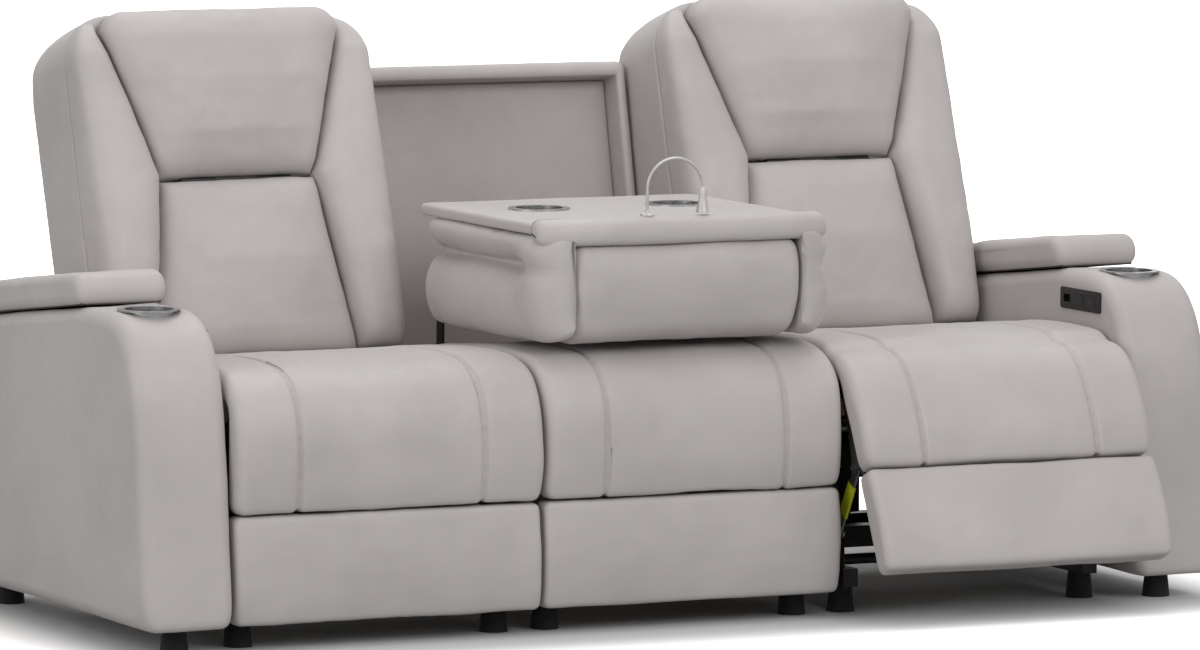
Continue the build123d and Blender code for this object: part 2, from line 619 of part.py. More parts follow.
for side, sign in sides.items():
    middle = sign * seat_pitch

    with BuildPart() as back_shell:
        with BuildSketch(side_plane(middle - back_half, rake, back_y, back_z)):
            with BuildLine():
                Polyline((shell_front, back_height - 14), (shell_front, back_low),
                         (shell_rear - 60, back_low), (shell_rear - 8, -40), (shell_rear, 260),
                         (shell_rear + 20, back_height - 136), (shell_rear + 16, back_height - 62),
                         (shell_rear - 44, back_height - 6), (shell_front, back_height - 14))
            make_face()
        extrude(amount=2 * back_half)
        with BuildSketch(face_plane(0, middle)) as front_view:
            with Locations((0, back_height / 2)):
                RectangleRounded(2 * back_half, back_height, shell_top_radius)
            with Locations((0, (back_height / 2 + recess_below) / 2)):
                Rectangle(2 * back_half, back_height / 2 - recess_below)
            with Locations((0, (recess_below + back_low) / 2)):
                Rectangle(2 * recess_half, recess_below - back_low + 1)
        extrude(amount=-(shell_rear + 60), mode=Mode.INTERSECT)
        rear_edges = back_shell.edges().filter_by(Axis.X).sort_by(Axis.Y)[-4:]
        fillet(rear_edges, shell_rear_radius)
    keep(f"back_shell_{side}", back_shell.part)

    bolsters = []
    for end in (-1, 1):
        levels = []
        for height, front, edge in wing_levels:
            inner = lumbar_half(height) if height < headrest_low else headrest_half(height)
            inner = max(inner, headrest_half_low) + pad_gap
            outer = back_half - 0.0012 * max(height - shoulder, 0) ** 2
            span = (inner, outer) if end > 0 else (-outer, -inner)
            levels.append((height, *span, front, edge))
        height = back_height - 26
        inner = headrest_half_high + pad_gap
        span = (inner, back_half - 34) if end > 0 else (-back_half + 34, -inner)
        levels.append((height, *span, 40, 10))
        bolsters.append(level_loft(levels, middle, shell_front))
    keep(f"back_bolsters_{side}", Compound(bolsters))

    lumbar_levels = [(height, -lumbar_half(height), lumbar_half(height), front, edge)
                     for height, front, edge in ((0, 24, 12), (22, 0, 16), (80, -14, 18), (180, -22, 18),
                                                 (270, -10, 18), (lumbar_high - 16, 8, 16),
                                                 (lumbar_high, 28, 12))]
    keep(f"lumbar_pad_{side}", level_loft(lumbar_levels, middle, shell_front))

    headrest_rear = shell_front - board_thickness
    headrest_levels = [(height, -headrest_half(height), headrest_half(height), front, edge)
                       for height, front, edge in ((headrest_low, 30, 12), (headrest_low + 14, 8, 16),
                                                   (headrest_low + 70, -14, 18), (shoulder, -22, 20),
                                                   (back_height - 60, -8, 18))]
    headrest_levels += [(back_height - 20, -headrest_half_high + 2, headrest_half_high - 2, 10, 16),
                        (back_height, -headrest_half_high + 22, headrest_half_high - 22, 34, 10)]
    keep(f"headrest_pad_{side}", level_loft(headrest_levels, middle, headrest_rear))

    # steel of the back: the headrest hinge with its pin, along the seam under the headrest, and the
    # plates on the sides of the shell that ride on the recline pins
    pin_height = headrest_low - headrest_gap / 2
    with BuildPart() as back_steel:
        for low, high in ((-leaf_half, -knuckle_half), (knuckle_half, leaf_half)):
            with BuildSketch(back_plane(middle + low)):
                with Locations((headrest_pin_depth, pin_height)):
                    Circle(hinge_knuckle)
                with Locations(((headrest_pin_depth + shell_front) / 2, pin_height - 4)):
                    Rectangle(shell_front - headrest_pin_depth, hinge_leaf)
            extrude(amount=high - low)
        with BuildSketch(back_plane(middle - leaf_half)):
            with Locations((headrest_pin_depth, pin_height)):
                Circle(hinge_knuckle / 2)
        extrude(amount=2 * leaf_half)
        for start in both_ends(back_bracket_inset, plate):
            with BuildSketch(back_plane(middle + start)):
                with BuildSketch(mode=Mode.PRIVATE) as strap:
                    with Locations((pivot_depth, pivot_height)):
                        Circle(pivot_ear)
                    with Locations((shell_front + 70, recess_below - 22)):
                        Circle(pivot_ear - 2)
                    make_hull()
                add(strap.sketch)
                with Locations((pivot_depth, pivot_height)):
                    Circle(pin_radius + fit, mode=Mode.SUBTRACT)
            extrude(amount=plate)
    keep(f"back_steel_{side}", back_steel.part)

    with BuildPart() as headrest_board:
        with BuildSketch(face_plane(headrest_rear, middle)):
            with BuildLine():
                Polyline((-headrest_half_low + 20, headrest_low + 4),
                         (headrest_half_low - 20, headrest_low + 4),
                         (headrest_half_high - 34, back_height - 34),
                         (-headrest_half_high + 34, back_height - 34), close=True)
            make_face()
        extrude(amount=-(board_thickness - seated))
        leaf_rear = shell_front - seated
        with BuildSketch(back_plane(middle - knuckle_half + seated)):
            with Locations((headrest_pin_depth, pin_height)):
                Circle(hinge_knuckle)
            with Locations(((headrest_pin_depth + leaf_rear) / 2, pin_height + 4)):
                Rectangle(leaf_rear - headrest_pin_depth, hinge_leaf)
            with Locations((leaf_rear - hinge_leaf, headrest_low - 1)):
                Rectangle(2 * hinge_leaf, 12)
            with Locations((headrest_pin_depth, pin_height)):
                Circle(hinge_knuckle / 2 + fit, mode=Mode.SUBTRACT)
        extrude(amount=2 * (knuckle_half - seated))
    keep(f"headrest_board_{side}", headrest_board.part)

# ------------------------------------------------------------------ arms
def deck_plane(x, y, rise=0.0):
    """On the sloping deck of an arm, its own y running to the rear along the slope."""
    a = radians(deck_slope)
    z = arm_deck_front - (y - lid_front) * tan(a)
    return Plane(origin=(x, y + rise * sin(a), z + rise * cos(a)), x_dir=(1, 0, 0),
                 z_dir=(0, sin(a), cos(a)))


def deck_side_plane(x):
    """Side view of the lid: its own x runs to the rear along the deck, its own y up from the deck."""
    return side_plane(x, deck_slope, lid_front, arm_deck_front)


over = 20.0                   # cuts into the deck start this far above it
lid_length = (lid_rear - lid_front) / cos(radians(deck_slope))
lid_pin_y, lid_pin_rise = lid_length + lid_knuckle + 2, lid_knuckle + 0.2
lid_half = arm_width / 2 + lid_overhang


def lid_outline(draw):
    low = lid_lift + lid_board_thickness
    top = lid_lift + lid_thickness - draw
    with BuildLine() as line:
        ThreePointArc((16 + draw, low), (draw, (low + top) / 2 - 2), (22 + draw, top - 3))
        ThreePointArc((22 + draw, top - 3), (lid_length * 0.45, top), (lid_length - 14 - draw / 2, top - 5))
        ThreePointArc((lid_length - 14 - draw / 2, top - 5), (lid_length - 3 - draw / 2, top - 15),
                      (lid_length - draw / 2, low + 8))
        Polyline((lid_length - draw / 2, low + 8), (lid_length - draw / 2, low), (16 + draw, low))
    return line


lid_stations = [(-lid_half, 14), (-lid_half + 5, 5), (-lid_half + 18, 1), (0, 0),
                (lid_half - 18, 1), (lid_half - 5, 5), (lid_half, 14)]

for side, sign in sides.items():
    middle = sign * arm_middle
    inner_face = sign * arm_inner

    with BuildPart() as arm_shell:
        with BuildSketch(side_plane(middle - arm_width / 2)) as arm_side:
            with BuildLine():
                Polyline((arm_front_low, skirt_height), (arm_front_high, arm_deck_front),
                         (lid_front, arm_deck_front), (arm_rear, arm_deck_rear),
                         (arm_rear, skirt_height), close=True)
            make_face()
            fillet(arm_side.vertices().sort_by_distance((arm_front_high, arm_deck_front))[0],
                   arm_front_radius)
        extrude(amount=arm_width)
        rounded = arm_shell.faces().filter_by(Axis.X).edges().filter_by(
            lambda edge: edge.center().Z > skirt_height + 5 and edge.center().Y < arm_rear - 5)
        fillet(rounded, arm_edge)
        # round well for the cup, long well for the bin and the opening behind the switch plate
        with BuildSketch(Plane.XY.offset(arm_deck_front + over)):
            with Locations((middle, cup_y)):
                Circle(cup_bore + cup_wall + seated)
        extrude(amount=-(over + cup_depth + cup_wall), mode=Mode.SUBTRACT)
        with BuildSketch(deck_plane(middle, bin_front, over)):
            with Locations((0, bin_length / 2)):
                Rectangle(bin_width + 2 * bin_wall + 2 * seated, bin_length + 2 * bin_wall + 2 * seated)
        extrude(amount=-(over + bin_depth + bin_wall + seated), mode=Mode.SUBTRACT)
        with BuildSketch(side_plane(inner_face)):
            with Locations((switch_y, switch_z)):
                Rectangle(switch_length - 2 * switch_edge, switch_height - 2 * switch_edge)
        extrude(amount=sign * (switch_depth - switch_proud + seated), mode=Mode.SUBTRACT)
    keep(f"arm_shell_{side}", arm_shell.part)

    with BuildPart() as lid_pad:
        for x, draw in lid_stations:
            with BuildSketch(deck_side_plane(middle + x)):
                make_face(lid_outline(draw).edges())
        loft(ruled=True)
    keep(f"lid_pad_{side}", lid_pad.part)

    # board under the pad, with the moving knuckle of its hinge
    with BuildPart() as lid_board:
        with BuildSketch(deck_plane(middle, lid_front, lid_lift)):
            with Locations((0, lid_length / 2 + 4)):
                Rectangle(2 * lid_half - 24, lid_length - 20)
        extrude(amount=lid_board_thickness)
        with BuildSketch(deck_side_plane(middle - lid_leaf_half / 3 + seated)):
            with Locations((lid_pin_y, lid_pin_rise)):
                Circle(lid_knuckle)
            with Locations(((lid_length + lid_pin_y) / 2 - 4, lid_pin_rise)):
                Rectangle(lid_pin_y - lid_length + 8, 4)
            with Locations((lid_pin_y, lid_pin_rise)):
                Circle(lid_pin_radius + fit, mode=Mode.SUBTRACT)
        extrude(amount=2 * (lid_leaf_half / 3 - seated))
    keep(f"lid_board_{side}", lid_board.part)

# hinge leaves behind the lids, each with two knuckles and the pin
with BuildPart() as lid_hinges:
    for sign in sides.values():
        middle = sign * arm_middle
        for low in (-lid_leaf_half, lid_leaf_half / 3):
            with BuildSketch(deck_side_plane(middle + low)):
                with Locations((lid_pin_y, lid_pin_rise)):
                    Circle(lid_knuckle)
                with Locations((lid_pin_y + lid_leaf / 2, seated + 1)):
                    Rectangle(lid_leaf, 2)
            extrude(amount=lid_leaf_half * 2 / 3)
        with BuildSketch(deck_side_plane(middle - lid_leaf_half)):
            with Locations((lid_pin_y, lid_pin_rise)):
                Circle(lid_pin_radius)
        extrude(amount=2 * lid_leaf_half)
keep("lid_hinges", lid_hinges.part)


def cup_cans(spots, deck):
    """Steel cup holders let into a level deck, each with a flat rim that lies on it."""
    with BuildPart() as cans:
        for low, radius, height in ((seated, cup_flange, cup_rim), (seated, cup_bore + cup_wall,
                                                                   seated - cup_depth - cup_wall)):
            with BuildSketch(Plane.XY.offset(deck + low)):
                with Locations(*spots):
                    Circle(radius)
            extrude(amount=height)
        with BuildSketch(Plane.XY.offset(deck + seated + cup_rim)):
            with Locations(*spots):
                Circle(cup_bore)
        extrude(amount=-(cup_depth + cup_rim), mode=Mode.SUBTRACT)
    return cans.part


keep("arm_cups", cup_cans([(sign * arm_middle, cup_y) for sign in sides.values()], arm_deck_front))

with BuildPart() as storage_bins:
    for sign in sides.values():
        with BuildSketch(deck_plane(sign * arm_middle, bin_front, -seated)):
            with Locations((0, bin_length / 2)):
                Rectangle(bin_width + 2 * bin_wall, bin_length + 2 * bin_wall)
        extrude(amount=-(bin_depth + bin_wall - seated))
        with BuildSketch(deck_plane(sign * arm_middle, bin_front, 0)):
            with Locations((0, bin_length / 2)):
                Rectangle(bin_width, bin_length)
        extrude(amount=-bin_depth, mode=Mode.SUBTRACT)
keep("storage_bins", storage_bins.part)

# switch plates on the inner faces of the arms, with pockets for two rockers and a charging port
rocker_ys = (switch_y - 38, switch_y + 6)
neck = 2 * (switch_edge + seated)     # the part of a plate inside the arm is smaller by this
with BuildPart() as switch_plates:
    for sign in sides.values():
        face = sign * (arm_inner - switch_proud)
        with BuildSketch(side_plane(face)):
            with Locations((switch_y, switch_z)):
                RectangleRounded(switch_length, switch_height, 6)
        extrude(amount=sign * (switch_proud - seated))
        with BuildSketch(side_plane(face)):
            with Locations((switch_y, switch_z)):
                Rectangle(switch_length - neck, switch_height - neck)
        extrude(amount=sign * switch_depth)
        with BuildSketch(side_plane(face)):
            with Locations(*[(y, switch_z) for y in rocker_ys]):
                Rectangle(rocker_length + 1, rocker_height + 1)
        extrude(amount=sign * (switch_depth - 2), mode=Mode.SUBTRACT)
        with BuildSketch(side_plane(face)):
            with Locations((switch_y + 50, switch_z)):
                RectangleRounded(port_length, port_height, 2)
        extrude(amount=sign * port_depth, mode=Mode.SUBTRACT)
        for y in rocker_ys:
            with Locations((face + sign * rocker_sink, y, switch_z)):
                Cylinder(rocker_pin + fit, rocker_height + 6, mode=Mode.SUBTRACT)
keep("switch_plates", switch_plates.part)

for side, sign in sides.items():
    face = sign * (arm_inner - switch_proud)
    for use, y in zip(("recline", "headrest"), rocker_ys):
        with BuildPart() as rocker:
            with Locations((face + sign * (rocker_sink - 2.5), y, switch_z)):
                Box(rocker_height * 0.45, rocker_length, rocker_height)
            fillet(rocker.edges().filter_by(Axis.Z).group_by(Axis.X)[0 if sign > 0 else -1], 2.5)
            with Locations((face + sign * rocker_sink, y, switch_z)):
                Cylinder(rocker_pin, rocker_height + 5)
        keep(f"{use}_rocker_{side}", rocker.part)

# ------------------------------------------------------------------ fixed frame behind the console
frame_lean = fold_travel - 90.0
frame_front = fold_drop + frame_clearance
frame_half = seat_half - 1


def frame_plane(x):
    return side_plane(x, frame_lean, fold_y, fold_z)


frame_high = (frame_top - fold_z + frame_front * sin(radians(frame_lean))) / cos(radians(frame_lean))
recess_depth = frame_depth - frame_wall
with BuildPart() as middle_back_frame:
    with BuildSketch(frame_plane(-frame_half)):
        with Locations((frame_front + frame_depth / 2, (frame_high + frame_foot) / 2)):
            Rectangle(frame_depth, frame_high - frame_foot)
    extrude(amount=2 * frame_half)
    outer_edges = middle_back_frame.faces().filter_by(Axis.X).edges().filter_by(
        lambda edge: edge.center().Z > fold_z)
    fillet(outer_edges, 7)
    with BuildSketch(frame_plane(-frame_half + frame_side_band)):
        with Locations((frame_front + recess_depth / 2, (frame_high - frame_top_band + recess_low) / 2)):
            Rectangle(recess_depth, frame_high - frame_top_band - recess_low)
    extrude(amount=2 * (frame_half - frame_side_band), mode=Mode.SUBTRACT)
    split(bisect_by=Plane.XY.offset(seat_bottom), keep=Keep.TOP)
keep("middle_back_frame", middle_back_frame.part)

with BuildPart() as middle_back_panel:
    with BuildSketch(frame_plane(-frame_half + frame_side_band + 1)):
        with Locations((frame_front + recess_depth - panel_board / 2 - seated,
                        (frame_high - frame_top_band + recess_low) / 2)):
            Rectangle(panel_board, frame_high - frame_top_band - recess_low - 2)
    extrude(amount=2 * (frame_half - frame_side_band - 1))
keep("middle_back_panel", middle_back_panel.part)

# ------------------------------------------------------------------ console
console_arm_start = core_half + seated
bolster_inner = console_arm_start + plate + seated
bracket_start = bolster_inner + 3.0
table_bottom = table_z - table_thickness
pad_top = table_bottom - seated
core_rear = fold_y - 6.0
wall_rear = cross_wall_y + box_wall / 2

# brackets on the cross wall behind the middle seat, with the fold pins
with BuildPart() as console_brackets:
    for sign in sides.values():
        with BuildSketch(side_plane(sign * bracket_start)):
            with BuildLine():
                Polyline((seat_rear + 1, seat_bottom + seated), (wall_rear + seated, seat_bottom + seated),
                         (wall_rear + seated, seat_bottom - bracket_drop),
                         (wall_rear + bracket_foot, seat_bottom - bracket_drop),
                         (fold_y + fold_ear, fold_z), (seat_rear + 1, fold_z), close=True)
            make_face()
            with Locations((fold_y, fold_z)):
                Circle(fold_ear)
        extrude(amount=sign * plate)
        # flange screwed to the rear of the wall
        flange = box_half - box_wall - bracket_start - seated
        with Locations((sign * (bracket_start + flange / 2), wall_rear + seated + plate / 2,
                        seat_bottom - bracket_drop / 2)):
            Box(flange, plate, bracket_drop)
        with BuildSketch(side_plane(sign * (core_half - 1))):
            with Locations((fold_y, fold_z)):
                Circle(pin_radius)
        extrude(amount=sign * (bracket_start + plate - core_half + 1))
keep("console_brackets", console_brackets.part)


def pillow_outline(draw):
    low = console_low + draw
    roll_rear = table_front - 2
    with BuildLine() as line:
        Polyline((pillow_rear, low + 16), (pillow_rear, pad_top), (roll_rear, pad_top),
                 (roll_rear, table_z + 2 - draw))
        ThreePointArc((roll_rear, table_z + 2 - draw), (lamp_y, table_z + pillow_rise - draw),
                      (24 + draw, table_z - 14 - draw))
        ThreePointArc((24 + draw, table_z - 14 - draw), (console_front + draw, (table_z + console_low) / 2),
                      (30 + draw, low + 26))
        ThreePointArc((30 + draw, low + 26), (44 + draw, low + 6), (72, low))
        ThreePointArc((72, low), (150, low - 1), (pillow_rear, low + 16))
    return line


pillow_stations = [(-core_half, 20), (-core_half + 8, 8), (-core_half + 26, 2), (0, 0),
                   (core_half - 26, 2), (core_half - 8, 8), (core_half, 20)]
keep("console_pillow", lofted(pillow_outline, pillow_stations, 0.0))


def core_outline(draw):
    low = console_low + draw
    with BuildLine() as line:
        ThreePointArc((pillow_rear + pad_gap, low + 16), ((pillow_rear + core_rear) / 2, low),
                      (core_rear - 12, low + 30))
        Polyline((core_rear - 12, low + 30), (core_rear, low + 60), (core_rear, pad_top),
                 (pillow_rear + pad_gap, pad_top), (pillow_rear + pad_gap, low + 16))
    return line


console_cup_spots = [(sign * console_cup_x, console_cup_y) for sign in sides.values()]
with BuildPart() as console_core:
    add(lofted(core_outline, pillow_stations, 0.0))
    with BuildSketch(Plane.XY.offset(table_bottom)):
        with Locations(*console_cup_spots):
            Circle(cup_bore + cup_wall + seated)
    extrude(amount=-(cup_depth + cup_wall - table_thickness + seated), mode=Mode.SUBTRACT)
keep("console_core", console_core.part)

table_rear = fold_y - 4.0
with BuildPart() as console_table:
    with BuildSketch(Plane.XY.offset(table_bottom)):
        with Locations((0, (table_front + table_rear) / 2)):
            RectangleRounded(2 * (console_half - 12), table_rear - table_front, table_corner)
        with Locations(*console_cup_spots):
            Circle(cup_bore + cup_wall + seated, mode=Mode.SUBTRACT)
    extrude(amount=table_thickness)
    fillet(console_table.faces().sort_by(Axis.Z)[-1].outer_wire().edges(), table_edge)
keep("console_table", console_table.part)

keep("console_cups", cup_cans(console_cup_spots, table_z))


def bolster_section(draw):
    """Across one side of the console: a fat lower bulge, a crease and a slimmer roll under the table."""
    low, high = console_low + 4 + draw * 0.8, pad_top
    crease = console_low + bolster_crease
    with BuildLine() as line:
        Polyline((bolster_inner + 30, low), (bolster_inner, low + 10), (bolster_inner, high),
                 (bolster_inner + 36, high))
        ThreePointArc((bolster_inner + 36, high), (console_half - 6 - draw, (crease + high) / 2 + 6),
                      (console_half - 22 - draw, crease))
        ThreePointArc((console_half - 22 - draw, crease), (console_half - draw, (low + crease) / 2),
                      (bolster_inner + 30, low))
    return line


bolster_stations = [(bolster_front, 22), (bolster_front + 10, 10), (bolster_front + 28, 3),
                    (bolster_front + 68, 0), (bolster_rear - 60, 0), (bolster_rear - 10, 6),
                    (bolster_rear, 14)]
with BuildPart() as right_bolster:
    for y, draw in bolster_stations:
        with BuildSketch(Plane(origin=(0, y, 0), x_dir=(1, 0, 0), z_dir=(0, -1, 0))):
            make_face(bolster_section(draw).edges())
    loft(ruled=True)
left_bolster = mirror(right_bolster.part, about=Plane.YZ)
keep("console_bolsters", Compound([left_bolster, right_bolster.part]))

# steel arms on the sides of the core that turn on the fold pins
with BuildPart() as console_arms:
    for sign in sides.values():
        with BuildSketch(side_plane(sign * console_arm_start)):
            with Locations((fold_y, fold_z)):
                Circle(fold_ear)
            with Locations((core_rear - 60, fold_z + 70)):
                Circle(1.5 * fold_ear)
            make_hull()
            with Locations((fold_y, fold_z)):
                Circle(pin_radius + fit, mode=Mode.SUBTRACT)
        extrude(amount=sign * plate)
keep("console_arms", console_arms.part)

# reading lamp: base, bent stem and a slim head that hangs from it
with BuildPart() as reading_lamp:
    base_z = table_z + pillow_rise
    with Locations((lamp_x, lamp_y, base_z)):
        Cylinder(lamp_base_radius, lamp_base_height, align=(Align.CENTER, Align.CENTER, Align.MIN))
    bend = lamp_reach / 2
    stem_low = lamp_base_height - 2
    with BuildLine(Plane(origin=(lamp_x, lamp_y, base_z), x_dir=(1, 0, 0), z_dir=(0, -1, 0))) as stem:
        Line((0, stem_low), (0, lamp_rise - bend))
        ThreePointArc((0, lamp_rise - bend), (bend, lamp_rise), (2 * bend, lamp_rise - bend))
    with BuildSketch(Plane.XY.offset(base_z + stem_low)):
        with Locations((lamp_x, lamp_y)):
            Circle(stem_radius)
    sweep(path=stem.wire())
    head_top = base_z + lamp_rise - bend + 2
    for height, radius in ((head_top, lamp_head_top), (head_top - lamp_head_length, lamp_head_radius)):
        with BuildSketch(Plane.XY.offset(height)):
            with Locations((lamp_x + lamp_reach, lamp_y)):
                Circle(radius)
    loft()
keep("reading_lamp", reading_lamp.part)

# ------------------------------------------------------------------ standing over the origin, and files
boxes = [piece.bounding_box() for piece in finished.values()]
foremost = min(box.min.Y for box in boxes)
rearmost = max(box.max.Y for box in boxes)
rest_shift = -(foremost + rearmost) / 2
print(f"moved {rest_shift:.3f} along y; depth {rearmost - foremost:.1f}")
for name, piece in finished.items():
    placed = piece.moved(Location((0, rest_shift, 0)))
    placed.label = name
    export_step(placed, f"parts/{name}.step")
print(len(finished), "pieces")
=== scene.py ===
"""Looks of a three-seat power reclining sofa whose middle back folds down as a console.

Metres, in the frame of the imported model. Side outlines are (y, z) pairs measured from the front plane of
the seats, outlines of the backs are (depth, height) pairs in the leaned directions of a back.
"""
from math import atan2, ceil, cos, exp, pi, radians, sin, sqrt

import bmesh
import bpy
import numpy as np
from mathutils import Matrix, Vector, noise
from mathutils.bvhtree import BVHTree


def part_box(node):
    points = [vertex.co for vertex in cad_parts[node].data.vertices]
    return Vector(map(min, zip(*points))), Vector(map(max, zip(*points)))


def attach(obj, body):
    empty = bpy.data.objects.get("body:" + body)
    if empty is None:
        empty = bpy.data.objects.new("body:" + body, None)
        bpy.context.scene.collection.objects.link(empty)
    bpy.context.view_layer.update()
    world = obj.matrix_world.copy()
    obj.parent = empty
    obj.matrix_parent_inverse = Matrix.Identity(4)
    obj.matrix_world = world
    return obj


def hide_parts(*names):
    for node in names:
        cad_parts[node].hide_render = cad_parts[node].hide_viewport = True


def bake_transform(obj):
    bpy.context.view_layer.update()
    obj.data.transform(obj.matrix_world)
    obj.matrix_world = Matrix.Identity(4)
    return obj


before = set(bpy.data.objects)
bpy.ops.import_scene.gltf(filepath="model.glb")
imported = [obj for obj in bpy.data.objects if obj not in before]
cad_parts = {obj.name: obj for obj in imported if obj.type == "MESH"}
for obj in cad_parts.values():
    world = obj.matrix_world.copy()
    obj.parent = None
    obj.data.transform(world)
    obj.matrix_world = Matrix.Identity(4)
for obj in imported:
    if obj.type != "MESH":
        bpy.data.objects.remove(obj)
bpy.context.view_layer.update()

# ------------ sizes shared with the frame
SEAT_REAR = 0.556
SEAT_WIDTH, SEAT_PITCH = 0.602, 0.606
SEAT_HALF = SEAT_WIDTH / 2
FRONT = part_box("seat_cushion_left")[1].y - SEAT_REAR      # y of the seats' front plane
SKIRT, PANEL_TOP, SEAT_BOTTOM, CROWN, REAR_TOP = 0.048, 0.242, 0.400, 0.503, 0.468      # heights
BULGE, BOARD = 0.030, 0.030       # a seat's padding ahead of its front plane, and the board behind it
HINGE = (0.038, 0.468)            # footrest hinge
OPEN_ANGLE = 25.0
ARM_INNER, ARM_OUTER = 0.911, 1.087
ARM_MIDDLE, ARM_HALF = (ARM_INNER + ARM_OUTER) / 2, 0.088
RAKE = 16.0
BACK = (0.545, 0.470)             # foot of a back's front plane
BACK_HEIGHT, BACK_HALF = 0.656, 0.299
SIDES = {"left": -1, "right": 1}
CORNERS = ((-1, -1), (1, -1), (1, 1), (-1, 1))


# ------------ outlines
def line(start, end, count):
    t = np.linspace(0, 1, count, endpoint=False)[:, None]
    return np.array(start) * (1 - t) + np.array(end) * t


def curve(a, b, c, d, count):
    """A cubic from a to d, pulled towards b and c."""
    t = np.linspace(0, 1, count, endpoint=False)[:, None]
    a, b, c, d = map(np.array, (a, b, c, d))
    return a * (1 - t) ** 3 + 3 * b * t * (1 - t) ** 2 + 3 * c * t ** 2 * (1 - t) + d * t ** 3


def evenly(points, count):
    """A closed outline again with this many points, evenly spaced from the same start."""
    closed = np.vstack([points, points[:1]])
    along = np.r_[0, np.cumsum(np.linalg.norm(np.diff(closed, axis=0), axis=1))]
    places = np.linspace(0, along[-1], count, endpoint=False)
    return np.stack([np.interp(places, along, closed[:, k]) for k in (0, 1)], 1)


def softened(points):
    return (np.roll(points, 1, 0) + 2 * points + np.roll(points, -1, 0)) / 4


def loop(start, *parts, count, soften=0.006):
    """A closed outline from start through the parts, evenly spaced, its corners rounded to about soften.
    A part is (points, end) for a line, or (points, two pulls, end) for a curve."""
    rows = []
    for number, *places in parts:
        rows.append((line if len(places) == 1 else curve)(start, *places, number))
        start = places[-1]
    points = evenly(np.concatenate(rows), count)
    step = np.linalg.norm(points[1] - points[0])
    for _ in range(int(round((soften / step) ** 2 * 2))):
        points = softened(points)
    return points


def leaned(x, depth, height, foot, angle):
    """A point at a depth and height in directions that lean back by an angle, from a foot (y, z)."""
    return (x, FRONT + foot[0] + depth * cos(angle) + height * sin(angle),
            foot[1] - depth * sin(angle) + height * cos(angle))


def inward(points):
    """Unit normals of a closed outline that point into it."""
    along = np.roll(points, -1, 0) - np.roll(points, 1, 0)
    area = np.sum(points[:, 0] * np.roll(points[:, 1], -1) - np.roll(points[:, 0], -1) * points[:, 1])
    normal = np.stack([-along[:, 1], along[:, 0]], 1) * (1 if area > 0 else -1)
    return normal / np.maximum(np.linalg.norm(normal, axis=1)[:, None], 1e-9)


DRAWN_STEP = 0.0016            # longest step of an outline drawn inwards
GROOVE_ROWS = (-4, -3, -2.2, -1.6, -1.1, -0.7, -0.35, 0, 0.35, 0.7, 1.1, 1.6, 2.2, 3, 4)   # in groove widths


def drawn_in(points, amount):
    """The outline drawn inwards, in small even steps so that tight corners don't fold over."""
    steps = int(ceil(amount / DRAWN_STEP))
    for _ in range(steps):
        points = evenly(softened(points + inward(points) * amount / steps), len(points))
    return points


def rounded_ends(half, edge, seams=(), step=0.016, groove=0.006, groove_width=0.0055, steps=9):
    """(x, edge inset, groove inset) across a pad: quarter-round ends and sewn grooves."""
    ends = [(half - edge * (1 - cos(a)), edge * (1 - sin(a))) for a in np.linspace(0, pi / 2, steps)]
    inner = set(np.round(np.linspace(-half + edge, half - edge, int(2 * half / step) + 1), 5))
    for seam in seams:
        inner |= {round(seam + k * groove_width, 5) for k in GROOVE_ROWS}
    rows = [(-x, drawn) for x, drawn in ends] + [(x, 0.0) for x in sorted(inner) if abs(x) < half - edge]
    rows += [(x, drawn) for x, drawn in reversed(ends)]
    return [(x, drawn, sum(groove * exp(-((x - s) / groove_width) ** 2) for s in seams)) for x, drawn in rows]


# ------------ meshes
def new_piece(name, vertices, faces, sharp=None):
    mesh = bpy.data.meshes.new(name)
    mesh.from_pydata([tuple(v) for v in vertices], [], faces)
    work = bmesh.new()
    work.from_mesh(mesh)
    bmesh.ops.remove_doubles(work, verts=work.verts, dist=1e-6)
    bmesh.ops.recalc_face_normals(work, faces=work.faces)
    for face in work.faces:
        face.smooth = True
    work.to_mesh(mesh)
    work.free()
    piece = bpy.data.objects.new(name, mesh)
    bpy.context.scene.collection.objects.link(piece)
    if sharp:
        mesh.set_sharp_from_angle(angle=radians(sharp))
    return piece


def lofted(name, rings, sharp=None):
    """A solid through rings of points, each joined to the next, with flat faces over its two ends."""
    count = len(rings[0])
    faces = []
    for r in range(len(rings) - 1):
        for k in range(count):
            a, b = r * count + k, r * count + (k + 1) % count
            faces.append((a, b, b + count, a + count))
    faces.append(tuple(range(count)))
    faces.append(tuple(range((len(rings) - 1) * count, len(rings) * count)))
    return new_piece(name, np.concatenate(rings), faces, sharp)


PUCKER, PUCKER_PITCH, PUCKER_WAVE = 0.15, 0.023, 0.13      # how seams draw the cover in along their length


def across(outline, rows, middle_x=0.0, visible=None):
    """Rings across x of a side outline: inset all round at the ends, and by the groove where visible."""
    shown = np.ones(len(outline)) if visible is None else np.array([visible(p) for p in outline])
    along = np.arange(len(outline)) * np.linalg.norm(outline[1] - outline[0])
    waves = np.sin(along * 2 * pi / PUCKER_PITCH) * np.sin(along * 2 * pi / PUCKER_WAVE + middle_x)
    pucker = 1 + PUCKER * waves
    rings = []
    for x, edge, groove in rows:
        moved = drawn_in(outline, edge) if edge > 0 else outline
        moved = moved + inward(moved) * (groove * shown * pucker)[:, None]
        rings.append(np.column_stack([np.full(len(moved), middle_x + x), moved[:, 0] + FRONT, moved[:, 1]]))
    return rings


